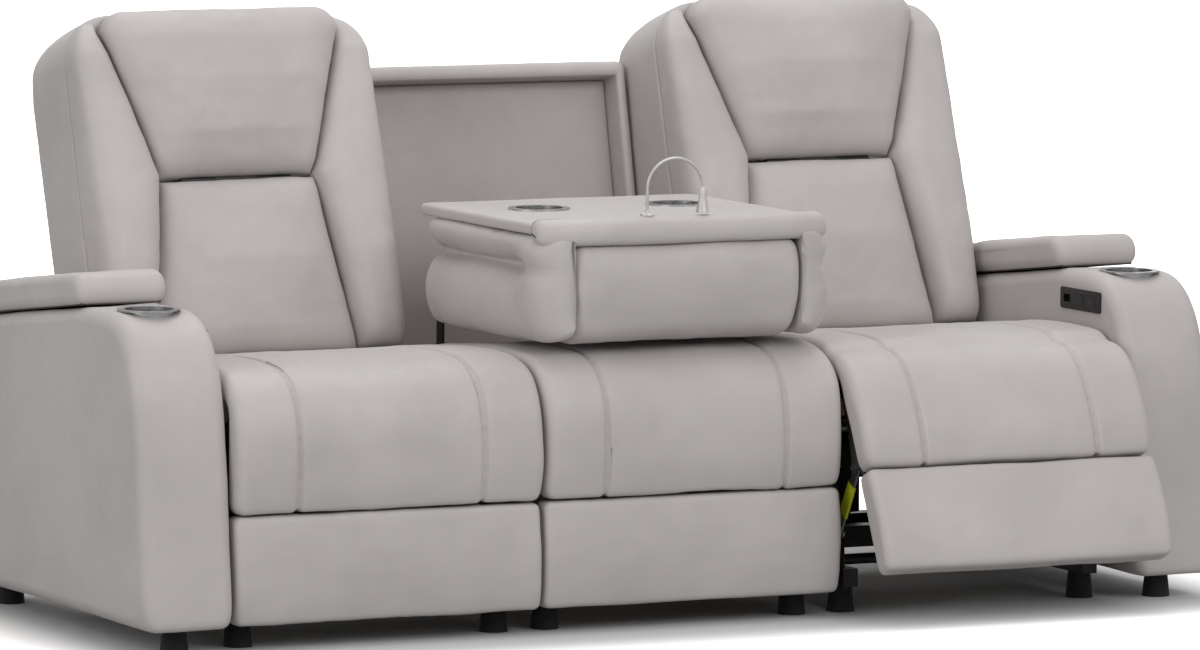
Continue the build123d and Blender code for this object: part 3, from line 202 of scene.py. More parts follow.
def ruffle(piece, amount, size, seed=0.0, stretch=(1, 1, 1), where=None):
    """Moves the surface in and out by smooth noise of that size, as padding lies under a cover."""
    offset = Vector((seed * 7.13, seed * 3.71, seed * 5.17))
    count = len(piece.data.vertices)
    places, normals = np.empty(count * 3), np.empty(count * 3)
    piece.data.vertices.foreach_get("co", places)
    piece.data.vertices.foreach_get("normal", normals)
    places, normals = places.reshape(-1, 3), normals.reshape(-1, 3)
    spots = places * np.array(stretch) / size
    lift = np.array([noise.noise(Vector(spot) + offset) for spot in spots]) * amount
    if where:
        lift *= np.array([where(p) for p in places])
    piece.data.vertices.foreach_set("co", (places + normals * lift[:, None]).ravel())
    piece.data.update()


def padding(piece, broad, fine, stretch=(1, 1, 1), fine_stretch=(1, 1, 1), where=None):
    """The cover's unevenness over its stuffing: broad and fine (amount, size, seed)."""
    ruffle(piece, *broad, stretch, where)
    ruffle(piece, *fine, fine_stretch, where)


def stitched(piece, rows, length=0.0052, pitch=0.0080, width=0.0008, proud=0.0003):
    """Sews thread along rows of points near the piece's surface: one small spindle for each stitch."""
    work = bmesh.new()
    work.from_mesh(piece.data)
    surface = BVHTree.FromBMesh(work)
    for row in rows:
        row = np.asarray(row)
        along = np.r_[0, np.cumsum(np.linalg.norm(np.diff(row, axis=0), axis=1))]
        for place in np.arange(pitch, along[-1] - pitch, pitch):
            ends = [Vector([np.interp(place + d, along, row[:, k]) for k in range(3)]) for d in (0, length)]
            (a, normal, _, _), (b, _, _, _) = (surface.find_nearest(end) for end in ends)
            side = (b - a).cross(normal).normalized() * width / 2
            middle = (a + b) / 2 + normal * proud / 2
            spots = [a - normal * width, middle + side, middle + normal * width, middle - side,
                     middle - normal * width, b - normal * width]
            made = [work.verts.new(spot) for spot in spots]
            for k in range(4):
                for tip in (0, 5):
                    face = work.faces.new((made[tip], made[1 + k], made[1 + (k + 1) % 4]))
                    face.material_index, face.smooth = 1, True
    bmesh.ops.recalc_face_normals(work, faces=work.faces)
    work.to_mesh(piece.data)
    work.free()
    piece.data.materials.append(THREAD)


# ------------ materials
def shader(name):
    made = bpy.data.materials.new(name)
    made.use_nodes = True
    tree = made.node_tree
    return made, tree, tree.nodes["Principled BSDF"]


def linked(tree, kind, *sources, **settings):
    """A new node whose first inputs take these outputs or values in turn. None leaves an input as it is."""
    made = tree.nodes.new("ShaderNode" + kind)
    for key, value in settings.items():
        setattr(made, key, value)
    for socket, source in zip(made.inputs, sources):
        if isinstance(source, bpy.types.NodeSocket):
            tree.links.new(source, socket)
        elif source is not None:
            socket.default_value = source
    return made


def noise_field(tree, scale, detail=2.0, roughness=0.5, stretch=(1, 1, 1)):
    place = linked(tree, "TexCoord")
    mapping = linked(tree, "Mapping", place.outputs["Object"])
    mapping.inputs["Scale"].default_value = stretch
    field = linked(tree, "TexNoise", mapping.outputs["Vector"])
    for key, value in (("Scale", scale), ("Detail", detail), ("Roughness", roughness)):
        field.inputs[key].default_value = value
    return field


def varied(tree, target, field, low, high, spread=(0.35, 0.65)):
    """Drives a colour or number of the shader between two values by a field."""
    ramp = linked(tree, "ValToRGB", field.outputs[0])
    ramp.color_ramp.elements[0].position, ramp.color_ramp.elements[1].position = spread
    ramp.color_ramp.elements[0].color = low if len(np.shape(low)) else (low, low, low, 1)
    ramp.color_ramp.elements[1].color = high if len(np.shape(high)) else (high, high, high, 1)
    tree.links.new(ramp.outputs["Color"], target)


def bumped(tree, bsdf, fields):
    """Stacks bumps of (field output, strength, distance in metres) on the shader's normal."""
    last = None
    for output, strength, distance in fields:
        bump = tree.nodes.new("ShaderNodeBump")
        bump.inputs["Strength"].default_value = strength
        bump.inputs["Distance"].default_value = distance
        tree.links.new(output, bump.inputs["Height"])
        if last:
            tree.links.new(last.outputs["Normal"], bump.inputs["Normal"])
        last = bump
    tree.links.new(last.outputs["Normal"], bsdf.inputs["Normal"])


def linear(red, green, blue):
    """A screen colour from 0 to 255 as the shader wants it."""
    return tuple((c / 255 / 12.92 if c <= 10 else ((c / 255 + 0.055) / 1.055) ** 2.4)
                 for c in (red, green, blue)) + (1.0,)


def leather(name, colour, dark, grain=760.0, rough=(0.46, 0.60)):
    """Soft polished upholstery: pebbled grain, faint creases and slow changes of tone."""
    made, tree, bsdf = shader(name)
    varied(tree, bsdf.inputs["Base Color"], noise_field(tree, 5.0, 4.0, 0.55), dark, colour, (0.30, 0.62))
    varied(tree, bsdf.inputs["Roughness"], noise_field(tree, 60.0, 3.0), *rough)
    pebble = linked(tree, "TexVoronoi", linked(tree, "TexCoord").outputs["Object"], feature="SMOOTH_F1")
    pebble.inputs["Scale"].default_value = grain
    crease = noise_field(tree, 46.0, 5.0, 0.62)
    bumped(tree, bsdf, [(crease.outputs[0], 0.16, 0.0016), (pebble.outputs["Distance"], 0.22, 0.0004)])
    bsdf.inputs["Sheen Weight"].default_value = 0.12
    bsdf.inputs["Sheen Roughness"].default_value = 0.45
    bsdf.inputs["Specular IOR Level"].default_value = 0.38
    return made


def metal(name, colour, dark, rough=(0.30, 0.42), metallic=1.0, brushed=(1, 1, 1), scale=30.0):
    made, tree, bsdf = shader(name)
    varied(tree, bsdf.inputs["Base Color"], noise_field(tree, scale, 4.0, 0.6, brushed), dark, colour)
    varied(tree, bsdf.inputs["Roughness"], noise_field(tree, scale * 4, 3.0, 0.6, brushed), *rough)
    bumped(tree, bsdf, [(noise_field(tree, scale * 12, 2.0, 0.5, brushed).outputs[0], 0.10, 0.0002)])
    bsdf.inputs["Metallic"].default_value = metallic
    return made


def moulded(name, colour, dark, rough=(0.38, 0.5), grain=900.0):
    made, tree, bsdf = shader(name)
    varied(tree, bsdf.inputs["Base Color"], noise_field(tree, 14.0, 3.0), dark, colour)
    varied(tree, bsdf.inputs["Roughness"], noise_field(tree, 40.0, 3.0), *rough)
    bumped(tree, bsdf, [(noise_field(tree, grain, 2.0).outputs[0], 0.12, 0.0002)])
    return made


def timber(name, colour, dark, stretch):
    made, tree, bsdf = shader(name)
    grain = noise_field(tree, 26.0, 7.0, 0.66, stretch)
    varied(tree, bsdf.inputs["Base Color"], grain, dark, colour, (0.32, 0.66))
    varied(tree, bsdf.inputs["Roughness"], grain, 0.55, 0.75)
    bumped(tree, bsdf, [(grain.outputs[0], 0.25, 0.0006)])
    return made


COVER = leather("upholstery", linear(184, 179, 177), linear(175, 170, 168))
# painted shade: a darker copy of the cover, for the panel that sits in the shade of the recess
PAINTED_SHADE_COVER = leather("upholstery_with_painted_recess_shade", linear(174, 168, 167), linear(165, 159, 158))
THREAD = moulded("thread", linear(172, 167, 164), linear(160, 155, 152), grain=2400.0)
BLACK_STEEL = metal("black_steel", linear(34, 34, 36), linear(24, 24, 26), (0.36, 0.52), 0.55)
ZINC = metal("zinc_steel", linear(158, 160, 163), linear(132, 134, 138), (0.28, 0.44))
BRUSHED = metal("brushed_steel", linear(186, 186, 187), linear(160, 160, 162), (0.20, 0.34), 1.0, (1, 1, 14))
YELLOW = moulded("yellow_plastic", linear(214, 220, 36), linear(196, 204, 24))
BLACK = moulded("black_plastic", linear(24, 24, 26), linear(17, 17, 19), (0.30, 0.42))
GLOSS = moulded("gloss_black", linear(18, 18, 20), linear(13, 13, 15), (0.14, 0.2))
WOOD = timber("timber", linear(202, 172, 130), linear(168, 134, 94), (1, 9, 9))
BOARD_PAINT = timber("painted_board", linear(48, 46, 45), linear(34, 33, 32), (2, 6, 6))
RUBBER = moulded("rubber", linear(15, 15, 16), linear(10, 10, 11), (0.80, 0.92), 1500.0)
LAMP = metal("lamp_metal", linear(196, 193, 190), linear(178, 175, 172), (0.36, 0.50), 0.35)


def finish_piece(piece, material, slot, *nodes, fill=None, body=None):
    """Gives a piece its looks, the CAD nodes it stands for and the body it rides on. fill, its padding, is
    not used.
    """
    piece.data.materials.clear()
    piece.data.materials.append(material)
    if nodes:
        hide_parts(*nodes)
    if body:
        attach(piece, body)


def upholster(piece, *nodes, **more):
    finish_piece(piece, COVER, "upholstery", *nodes, **more)


# ------------ seats
SEAMS = (-0.30 * SEAT_WIDTH, 0.30 * SEAT_WIDTH)
STITCH_ROWS = (-0.0065, 0.0065)   # beside a seam
BEND = (0.085, 0.030)             # where a seat pad starts and ends to bend with the footrest
SIDE_GAP = 0.001


def turned(points, angle, about=HINGE):
    """Side-view points turned about a line along x, bottom towards the front."""
    a = np.radians(angle)
    y, z = points[:, 0] - about[0], points[:, 1] - about[1]
    return np.stack([about[0] + y * np.cos(a) + z * np.sin(a), about[1] + z * np.cos(a) - y * np.sin(a)], 1)


def bent(rings, angle):
    """Rings turned about the footrest hinge, more and more along the bend in front of it."""
    start, end = BEND
    made = []
    for ring in rings:
        share = np.clip((start - (ring[:, 1] - FRONT)) / (start - end), 0, 1)
        share = share * share * (3 - 2 * share)
        side = turned(np.column_stack([ring[:, 1] - FRONT, ring[:, 2]]), angle * share)
        made.append(np.column_stack([ring[:, 0], side[:, 0] + FRONT, side[:, 1]]))
    return made


def waterfall():
    """Side of a seat: crown, front that rolls over and hangs down to the seam above the lower panel."""
    low = PANEL_TOP + 0.004
    return loop((-0.018, low), (20, (-0.027, 0.275), (-0.031, 0.300), (-BULGE, 0.335)),
                (50, (-0.029, 0.430), (-0.006, 0.498), (0.120, CROWN - 0.001)),
                (50, (0.230, CROWN + 0.004), (0.420, 0.492), (SEAT_REAR, REAR_TOP)),
                (8, (SEAT_REAR, SEAT_BOTTOM)), (30, (0.080, SEAT_BOTTOM)),
                (12, (0.070, 0.440), (0.050, 0.458), (BOARD, 0.430)),
                (20, (BOARD, low)), (8, (-0.018, low)), count=280)


def shown_on_seat(p):
    """1 on the top and front of a seat, 0 on its hidden underside and back."""
    front = p[1] > SEAT_BOTTOM + 0.035 or p[0] < BOARD - 0.020
    return 1.0 if front and p[0] < SEAT_REAR - 0.004 else 0.0


def seat_pad(name, middle_x, angle, seed):
    rows = rounded_ends(SEAT_HALF - SIDE_GAP, edge=0.019, seams=SEAMS)
    rings = across(waterfall(), rows, middle_x, shown_on_seat)
    if angle:
        rings = bent(rings, angle)
    piece = lofted(name, rings)
    padding(piece, (0.0030, 0.16, seed), (0.0011, 0.034, seed + 3), (1, 1, 1.4), (1, 0.6, 0.6))
    top = np.array([shown_on_seat(p) > 0 and p[0] < SEAT_REAR - 0.01 for p in waterfall()])
    sewn = []
    for seam in SEAMS:
        for beside in STITCH_ROWS:
            nearest = min(range(len(rows)), key=lambda k: abs(rows[k][0] - seam - beside))
            sewn.append(rings[nearest][top])
    return piece, sewn


def lower_panel(name, middle_x, angle, seed):
    outline = loop((-0.014, SKIRT), (40, (-0.027, 0.090), (-0.029, 0.170), (-0.015, PANEL_TOP)),
                   (10, (BOARD, PANEL_TOP)), (30, (BOARD, SKIRT)), (10, (-0.014, SKIRT)),
                   count=130, soften=0.007)
    rings = across(outline, rounded_ends(SEAT_HALF - SIDE_GAP, edge=0.014), middle_x)
    if angle:
        rings = [np.column_stack([r[:, 0], turned(r[:, 1:] - (FRONT, 0), angle) + (FRONT, 0)])
                 for r in rings]
    piece = lofted(name, rings)
    padding(piece, (0.0022, 0.13, seed), (0.0008, 0.03, seed + 4))
    return piece


for index, (side, middle_x) in enumerate((("left", -SEAT_PITCH), ("middle", 0.0), ("right", SEAT_PITCH))):
    angle = OPEN_ANGLE if side == "right" else 0.0
    pad, sewn = seat_pad(f"seat_pad_{side}", middle_x, angle, index * 11.0)
    panel = lower_panel(f"lower_panel_{side}", middle_x, angle, index * 5.0)
    if side == "middle":
        upholster(pad, "seat_cushion_middle", fill=0.8, body="base")
        stitched(pad, sewn)
        upholster(panel, "front_panel_middle", fill=0.7, body="base")
    else:
        upholster(pad, f"seat_cushion_{side}", f"footrest_pad_{side}", fill=0.8)
        stitched(pad, sewn)
        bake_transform(pad)
        upholster(panel, f"footrest_panel_{side}", fill=0.7, body=f"footrest_{side}")


# ------------ backs
def in_back(x, depth, height):
    return leaned(x, depth, height, BACK, radians(RAKE))


def smooth(t):
    """0 up to t = 0, 1 from t = 1, and a smooth step between."""
    t = min(max(t, 0.0), 1.0)
    return t * t * (3 - 2 * t)


def superround(t, power):
    """0 at the rim (t = 0) to 1 inside (t = 1), as the side of a stuffed pad."""
    t = min(max(t, 0.0), 1.0)
    return (1 - (1 - t) ** power) ** (1 / power)


ROWS, COLUMNS, POWER = 70, 64, 2.3       # mesh of a pad on the back, and how square its rim's round is


def back_pad(name, low, high, half_width, crown, edge, rear, side_round, end_round, top_corner=0.0,
             roll=0.026, low_roll=0.026):
    """A stuffed panel of the back between two heights. half_width, crown and edge are functions of the
    height: its half width, and the depths of its middle and of its rim. roll is the rim's round fall, and
    low_roll that of its lower edge."""
    heights = [low + (high - low) * (0.5 - 0.5 * cos(pi * k / ROWS)) for k in range(ROWS + 1)]
    rings = []
    for height in heights:
        half = half_width(height)
        if top_corner and height > high - top_corner:
            cut = (height - (high - top_corner)) / top_corner
            half -= top_corner * (1 - sqrt(max(0.0, 1 - cut * cut)))
        rise = superround(min(height - low, high - height) / end_round, POWER)
        fall = roll + (low_roll - roll) * smooth(1 - (height - low) / 0.030)
        ring = []
        for k in range(COLUMNS + 1):
            u = -cos(pi * k / COLUMNS)
            inside = superround((1 - abs(u)) * half / side_round, POWER)
            lift = inside * rise
            swell = crown(height) + (edge(height) - crown(height)) * abs(u) ** 2.4
            ring.append(in_back(u * half, swell + min(fall, rear - swell) * (1 - lift), height))
        ring += [in_back(u * half, rear, height) for u in np.linspace(1, -1, 12)]
        rings.append(np.array(ring))
    return lofted(name, rings)


HEADREST_LOW, HEADREST_WIDEST = 0.342, 0.616
LUMBAR_HALF, WAIST_HALF, HEADREST_HALF = 0.204, 0.154, 0.236


def lumbar_half(height):
    return LUMBAR_HALF - (LUMBAR_HALF - WAIST_HALF) * height / HEADREST_LOW


def headrest_half(height):
    share = (min(height, HEADREST_WIDEST) - HEADREST_LOW) / (HEADREST_WIDEST - HEADREST_LOW)
    return WAIST_HALF + (HEADREST_HALF - WAIST_HALF) * share


TOP_CORNER = 0.095


def shell_half(height):
    """Half width of the back's shell, with its round upper corners."""
    if height < BACK_HEIGHT - TOP_CORNER:
        return BACK_HALF
    rise = min(height - (BACK_HEIGHT - TOP_CORNER), TOP_CORNER)
    return BACK_HALF - TOP_CORNER + sqrt(max(0.0, TOP_CORNER ** 2 - rise ** 2))


ROLL_LEVELS, ROLL_POINTS = 90, 48
ROLL_END, ROLL_SIDE, ROLL_REAR = 0.069, 0.064, 0.071      # depths of its ends, sides and rear


def bolster(name, sign, middle_x, seed):
    """Side bolster of a back: a long roll from the seat to the top, beside lumbar pad and headrest."""
    rings = []
    low, high = 0.002, 0.640
    for k in range(ROLL_LEVELS + 1):
        height = low + (high - low) * k / ROLL_LEVELS
        inner = max(lumbar_half(height) if height < HEADREST_LOW else headrest_half(height), WAIST_HALF)
        inner += 0.002
        outer = shell_half(height) - 0.0005
        middle, half = (inner + outer) / 2, (outer - inner) / 2
        front = float(np.interp(height, (0, 0.06, 0.19, 0.33, 0.47, 0.575, 0.64),
                                (-0.012, -0.024, -0.028, -0.016, -0.002, 0.014, 0.046)))
        end = superround(min(height - low, high - height) / 0.040, 2.2)
        front = ROLL_END + (front - ROLL_END) * (0.25 + 0.75 * end)
        ring = []
        for j in range(ROLL_POINTS + 1):
            t = j / ROLL_POINTS * pi
            u, lift = -cos(t), sin(t)
            u = (abs(u) ** 0.62) * (1 if u > 0 else -1)
            lift = lift ** 0.52
            ring.append((middle + u * half, ROLL_SIDE + (front - ROLL_SIDE) * lift))
        ring += [(middle + half * s, ROLL_REAR) for s in np.linspace(1, -1, 10)]
        rings.append(np.array([in_back(middle_x + sign * x, depth, height) for x, depth in ring]))
    piece = lofted(name, rings)
    padding(piece, (0.0028, 0.14, seed), (0.0010, 0.032, seed + 2), (1, 1, 0.6))
    return piece


SHELL_LOW, SHELL_FRONT, SHELL_NOTCH = -0.112, 0.070, 0.252      # the notch is the half width of its foot


def shell(name, middle_x, seed):
    """Outside of a back: sides, round upper corners and leaning rear, as one upholstered shell."""

    def rear_depth(height):
        return float(np.interp(height, (SHELL_LOW, -0.040, 0.260, 0.520, 0.594, 0.650),
                               (0.160, 0.218, 0.236, 0.244, 0.232, 0.196)))

    def half(height):
        wide = shell_half(height)
        notch = float(np.interp(height, (-0.040, -0.026), (SHELL_NOTCH, BACK_HALF)))
        return min(wide, notch)

    levels = list(np.linspace(SHELL_LOW, BACK_HEIGHT - TOP_CORNER - 0.001, 60)) + [
        BACK_HEIGHT - TOP_CORNER + TOP_CORNER * sin(a) for a in np.linspace(0, pi / 2, 22)][:-1]
    rings = []
    for height in levels:
        wide, rear = half(height), rear_depth(height)
        top = superround((BACK_HEIGHT - height) / 0.05, 2.0)
        rear = SHELL_FRONT + (rear - SHELL_FRONT) * (0.35 + 0.65 * top)
        corner = min(0.006, wide * 0.5, (rear - SHELL_FRONT) * 0.5)
        ring = [(-wide + 0.004, SHELL_FRONT), (-wide + 0.001, 0.0725), (-wide, 0.077)]
        ring += [(-wide, d) for d in np.linspace(0.083, rear - corner, 14)]
        ring += [(-wide + corner * (1 - cos(a)), rear - corner * (1 - sin(a)))
                 for a in np.linspace(0.12, pi / 2, 10)]
        across_rear = np.linspace(-wide + corner, wide - corner, 34)[1:-1]
        ring += [(x, rear + 0.006 * (1 - (x / wide) ** 2)) for x in across_rear]
        ring += [(-x, d) for x, d in reversed(ring[:27])]
        ring += [(x, 0.069) for x in np.linspace(wide - 0.004, -wide + 0.004, 14)[1:-1]]
        rings.append(np.array([in_back(middle_x + x, depth, height) for x, depth in ring]))
    piece = lofted(name, rings)
    padding(piece, (0.0022, 0.20, seed), (0.0007, 0.04, seed + 2))
    return piece


def over_heights(heights, depths):
    """A depth as a function of the height, by straight lines between these."""
    return lambda height: float(np.interp(height, heights, depths))


for side, sign in SIDES.items():
    middle_x = sign * SEAT_PITCH
    seed = 20.0 + 9 * sign
    body = f"back_{side}"
    lumbar = back_pad(f"lumbar_{side}", 0.001, 0.3325, lumbar_half,
                      over_heights((0, 0.05, 0.18, 0.28, 0.33), (0.0, -0.014, -0.024, -0.012, 0.0)),
                      over_heights((0, 0.33), (0.006, 0.006)), 0.0695, side_round=0.034, end_round=0.040)
    headrest = back_pad(f"headrest_{side}", 0.3395, BACK_HEIGHT, headrest_half,
                        over_heights((0.34, 0.42, 0.52, 0.60, 0.656), (0.006, -0.020, -0.026, -0.014, 0.006)),
                        over_heights((0.34, 0.656), (0.004, 0.006)), 0.0575, side_round=0.036,
                        end_round=0.050, top_corner=0.045, low_roll=0.036)
    for piece in (lumbar, headrest):
        piece.data.transform(Matrix.Translation((middle_x, 0, 0)))
        padding(piece, (0.0034, 0.15, seed), (0.0011, 0.034, seed + 5))
        seed += 1.7
    upholster(lumbar, f"lumbar_pad_{side}", fill=0.75, body=body)
    upholster(headrest, f"headrest_pad_{side}", fill=0.8, body=f"headrest_{side}")
    for end in (-1, 1):
        piece = bolster(f"bolster_{side}_{'inner' if end * sign < 0 else 'outer'}", end, middle_x, seed + end)
        upholster(piece, f"back_bolsters_{side}", fill=0.8, body=body)
    upholster(shell(f"shell_{side}", middle_x, seed), f"back_shell_{side}", body=body)

# ------------ arms
DECK_FRONT, DECK_REAR, LID_FRONT, ARM_REAR = 0.598, 0.525, 0.268, 0.880
DECK_SLOPE = atan2(DECK_FRONT - DECK_REAR, ARM_REAR - LID_FRONT)
CUP_Y, CUP_HOLE, CUP_LOW, ABOVE_ARM = 0.158, 0.0458, 0.515, 0.640
BIN_FRONT, BIN_LENGTH, BIN_WIDTH, BIN_DEPTH = 0.320, 0.3066, 0.1226, 0.1333
BIN_SHIFT, BIN_ROOM, ABOVE_DECK = 0.003, 0.001, 0.03        # of the bin's well: forward, below, above
SWITCH, SWITCH_HALF, SWITCH_DEPTH, BESIDE_ARM = (0.182, 0.546), (0.0722, 0.0162), 0.0115, 0.01
LID_REAR, LID_HALF, LID_EDGE, LID_TOP = 0.752, 0.0888, 0.019, 0.064
LID_LOW, BOARD_HALF, BOARD_MIDDLE = 0.004, 0.074, 0.0075    # pad's rim, and its underside over the board
SHARP = 50                                                  # degrees between faces that meet at a cut edge


def arm_outline():
    return loop((-0.036, SKIRT), (20, (-0.020, 0.200)),
                (70, (0.004, 0.400), (0.004, 0.585), (0.150, DECK_FRONT)), (16, (LID_FRONT, DECK_FRONT)),
                (50, (ARM_REAR, DECK_REAR)), (40, (ARM_REAR, SKIRT)), (60, (-0.036, SKIRT)),
                count=300, soften=0.008)


def cut(piece, cutters):
    """Takes the cutters out of a piece."""
    for cutter in cutters:
        step = piece.modifiers.new("cut", "BOOLEAN")
        step.operation, step.solver, step.object = "DIFFERENCE", "MANIFOLD", cutter
    apply_modifiers(piece)
    for cutter in cutters:
        bpy.data.objects.remove(cutter)


def apply_modifiers(piece):
    graph = bpy.context.evaluated_depsgraph_get()
    made = bpy.data.meshes.new_from_object(piece.evaluated_get(graph))
    piece.modifiers.clear()
    old, piece.data = piece.data, made
    bpy.data.meshes.remove(old)


def prism(outline, axis, low, high):
    """A cutter: a closed outline drawn across an axis, from low to high along it."""
    column = "xyz".index(axis)
    return lofted("cutter", [np.insert(np.asarray(outline, float), column, place, axis=1)
                             for place in (low, high)])


def circle(centre, radius, count=48):
    a = np.linspace(0, 2 * pi, count, endpoint=False)
    return np.stack([centre[0] + radius * np.cos(a), centre[1] + radius * np.sin(a)], 1)


def deck_point(x, along, rise):
    """A point on an arm's sloping deck, along it from the lid's front and above it."""
    return leaned(x, along, rise, (LID_FRONT, DECK_FRONT), DECK_SLOPE)


def deck_rise(p):
    """How far a point is above the sloping deck."""
    return (p[1] - FRONT - LID_FRONT) * sin(DECK_SLOPE) + (p[2] - DECK_FRONT) * cos(DECK_SLOPE)


def lid_outline(length):
    """(along the deck, above it) of a padded lid: full front roll, flat underside, soft rear."""
    low, top = LID_LOW, LID_TOP
    return loop((0.016, low), (40, (-0.006, 0.006), (-0.005, 0.060), (0.034, top - 0.001)),
                (50, (0.18, top + 0.001), (length - 0.18, top), (length - 0.030, top - 0.004)),
                (20, (length - 0.004, top - 0.008), (length, top - 0.020), (length, low + 0.006)),
                (4, (length - 0.004, low)), (40, (0.016, low)), count=200, soften=0.004)


def above_board(p):
    """Share of the unevenness: little near a lid's underside, where its board lies."""
    return 0.2 + 0.8 * smooth((deck_rise(p) - 0.010) / 0.020)


for side, sign in SIDES.items():
    middle_x = sign * ARM_MIDDLE
    rows = rounded_ends(ARM_HALF, edge=0.026, step=0.02, steps=12)
    arm = lofted(f"arm_{side}", across(arm_outline(), rows, middle_x))
    padding(arm, (0.0028, 0.24, 40 + sign), (0.0008, 0.05, 44 + sign))
    cup_well = prism(circle((middle_x, FRONT + CUP_Y), CUP_HOLE), "z", CUP_LOW, ABOVE_ARM)
    bin_front = BIN_FRONT - LID_FRONT - BIN_SHIFT
    bin_rear = BIN_FRONT - LID_FRONT + BIN_LENGTH - BIN_SHIFT
    bin_rings = [np.array([deck_point(middle_x + a * BIN_WIDTH / 2, bin_front if b < 0 else bin_rear, rise)
                           for a, b in CORNERS]) for rise in (-BIN_DEPTH - BIN_ROOM, ABOVE_DECK)]
    bin_well = lofted("cutter", bin_rings)
    pocket = [(SWITCH[0] + FRONT + a * SWITCH_HALF[0], SWITCH[1] + b * SWITCH_HALF[1]) for a, b in CORNERS]
    inner = sign * ARM_INNER
    switch_well = prism(pocket, "x", *sorted((inner - sign * BESIDE_ARM, inner + sign * SWITCH_DEPTH)))
    cut(arm, [cup_well, bin_well, switch_well])
    arm.data.set_sharp_from_angle(angle=radians(SHARP))
    upholster(arm, f"arm_shell_{side}", body="base")

    length = (LID_REAR - LID_FRONT) / cos(DECK_SLOPE)
    outline = lid_outline(length)
    rings = []
    for x, edge, _ in rounded_ends(LID_HALF, LID_EDGE, step=0.02, steps=11):
        moved = drawn_in(outline, edge)
        if abs(x) < BOARD_HALF:
            # the pad's rim laps round the board, whose underside stays bare
            under = (moved[:, 1] < 0.012) & (moved[:, 0] > 0.018) & (moved[:, 0] < length - 0.010)
            moved[under, 1] = BOARD_MIDDLE
        rings.append(np.array([deck_point(middle_x + x, a, r) for a, r in moved]))
    lid = lofted(f"lid_{side}", rings)
    padding(lid, (0.0026, 0.13, 50 + sign), (0.0009, 0.035, 53 + sign), where=above_board)
    upholster(lid, f"lid_pad_{side}", fill=0.8, body=f"lid_{side}")

# ------------ fixed frame behind the console
FOLD = (0.570, 0.530)
FRAME_LEAN = 12.0
FRAME_FRONT, FRAME_DEPTH, RECESS = 0.213, 0.086, 0.066
FRAME_HALF, FRAME_TOP, FRAME_LOW = 0.300, 0.968, -0.080
FRAME_HIGH = (FRAME_TOP - FOLD[1] + FRAME_FRONT * sin(radians(FRAME_LEAN))) / cos(radians(FRAME_LEAN))
BEND_POINTS, SIDE_POINTS = 10, 45


def in_frame(x, depth, height):
    return leaned(x, depth, height, FOLD, radians(FRAME_LEAN))


def ring_rectangle(half, low, high, radius):
    """Points round an upright rectangle with round corners, (x, height), as many on each side and corner
    whatever its size, so that rings of different sizes join without a twist."""
    corners = ((half - radius, high - radius, 0), (-half + radius, high - radius, 90),
               (-half + radius, low + radius, 180), (half - radius, low + radius, 270))
    points = []
    for k, (cx, cy, start) in enumerate(corners):
        bend = [np.array((cx + radius * cos(radians(start + a)), cy + radius * sin(radians(start + a))))
                for a in np.linspace(0, 90, BEND_POINTS)]
        nx, ny, _ = corners[(k + 1) % 4]
        last = bend[-1]
        onward = np.array((nx, ny)) + last - (cx, cy)
        shares = np.linspace(0, 1, SIDE_POINTS + 1, endpoint=False)[1:]
        points += bend + [last + (onward - last) * share for share in shares]
    return np.array(points)


def frame_ring(inset_side, inset_top, depth, radius, inset_low=0.0):
    points = ring_rectangle(FRAME_HALF - inset_side, FRAME_LOW + inset_low, FRAME_HIGH - inset_top, radius)
    return np.array([in_frame(x, depth, height) for x, height in points])


recess, frame_rear = FRAME_FRONT + RECESS, FRAME_FRONT + FRAME_DEPTH
# (side inset, top inset, depth, corner radius) from the recess round the front rim to the rear's edge
frame_rows = [(0.021, 0.030, recess, 0.004), (0.0205, 0.0295, recess - 0.01, 0.004)]
frame_rows += [(side, top, FRAME_FRONT + back, radius) for side, top, back, radius in (
    (0.0202, 0.0292, 0.008, 0.004), (0.0195, 0.0285, 0.003, 0.005), (0.017, 0.026, 0.0002, 0.007),
    (0.011, 0.016, -0.001, 0.010), (0.006, 0.008, 0.001, 0.014), (0.002, 0.003, 0.004, 0.017),
    (-0.001, 0.0, 0.010, 0.018), (-0.0035, 0.0, 0.04, 0.018))]
frame_rows += [(-0.0035, 0.0, frame_rear - 0.014, 0.018), (0.002, 0.002, frame_rear - 0.006, 0.018, 0.002)]
# (inset on all sides, bulge, corner radius) over the rear
frame_rows += [(inset, inset, frame_rear + bulge, radius, inset) for inset, bulge, radius in (
    (0.010, 0.0, 0.016), (0.022, 0.0008, 0.014), (0.04, 0.0015, 0.012), (0.07, 0.0020, 0.010),
    (0.10, 0.0024, 0.008), (0.14, 0.0026, 0.008), (0.18, 0.0028, 0.008), (0.22, 0.0029, 0.008),
    (0.26, 0.0030, 0.008))]
middle_frame = lofted("middle_frame", [frame_ring(*row) for row in frame_rows])
padding(middle_frame, (0.0014, 0.16, 60), (0.0006, 0.04, 61))
upholster(middle_frame, "middle_back_frame", body="base")

panel_half, panel_low, panel_high = FRAME_HALF - 0.0213, -0.069, FRAME_HIGH - 0.0303
panel_rings = []
for drawn, ahead in ((0.0, 0.002), (0.0, 0.0085), (0.0015, 0.0115), (0.005, 0.0135), (0.014, 0.015),
                     (0.05, 0.0175), (0.09, 0.0184), (0.13, 0.019), (0.17, 0.0193), (0.21, 0.0195)):
    points = ring_rectangle(panel_half - drawn, panel_low + drawn, panel_high - drawn, 0.004)
    panel_rings.append(np.array([in_frame(x, recess - ahead, height) for x, height in points]))
panel = lofted("recess_panel", panel_rings)
ruffle(panel, 0.0012, 0.12, 63)
# the recess panel takes the darker copy of the cover, with the recess's shade painted in
finish_piece(panel, PAINTED_SHADE_COVER, "upholstery", "middle_back_panel", fill=0.4, body="base")

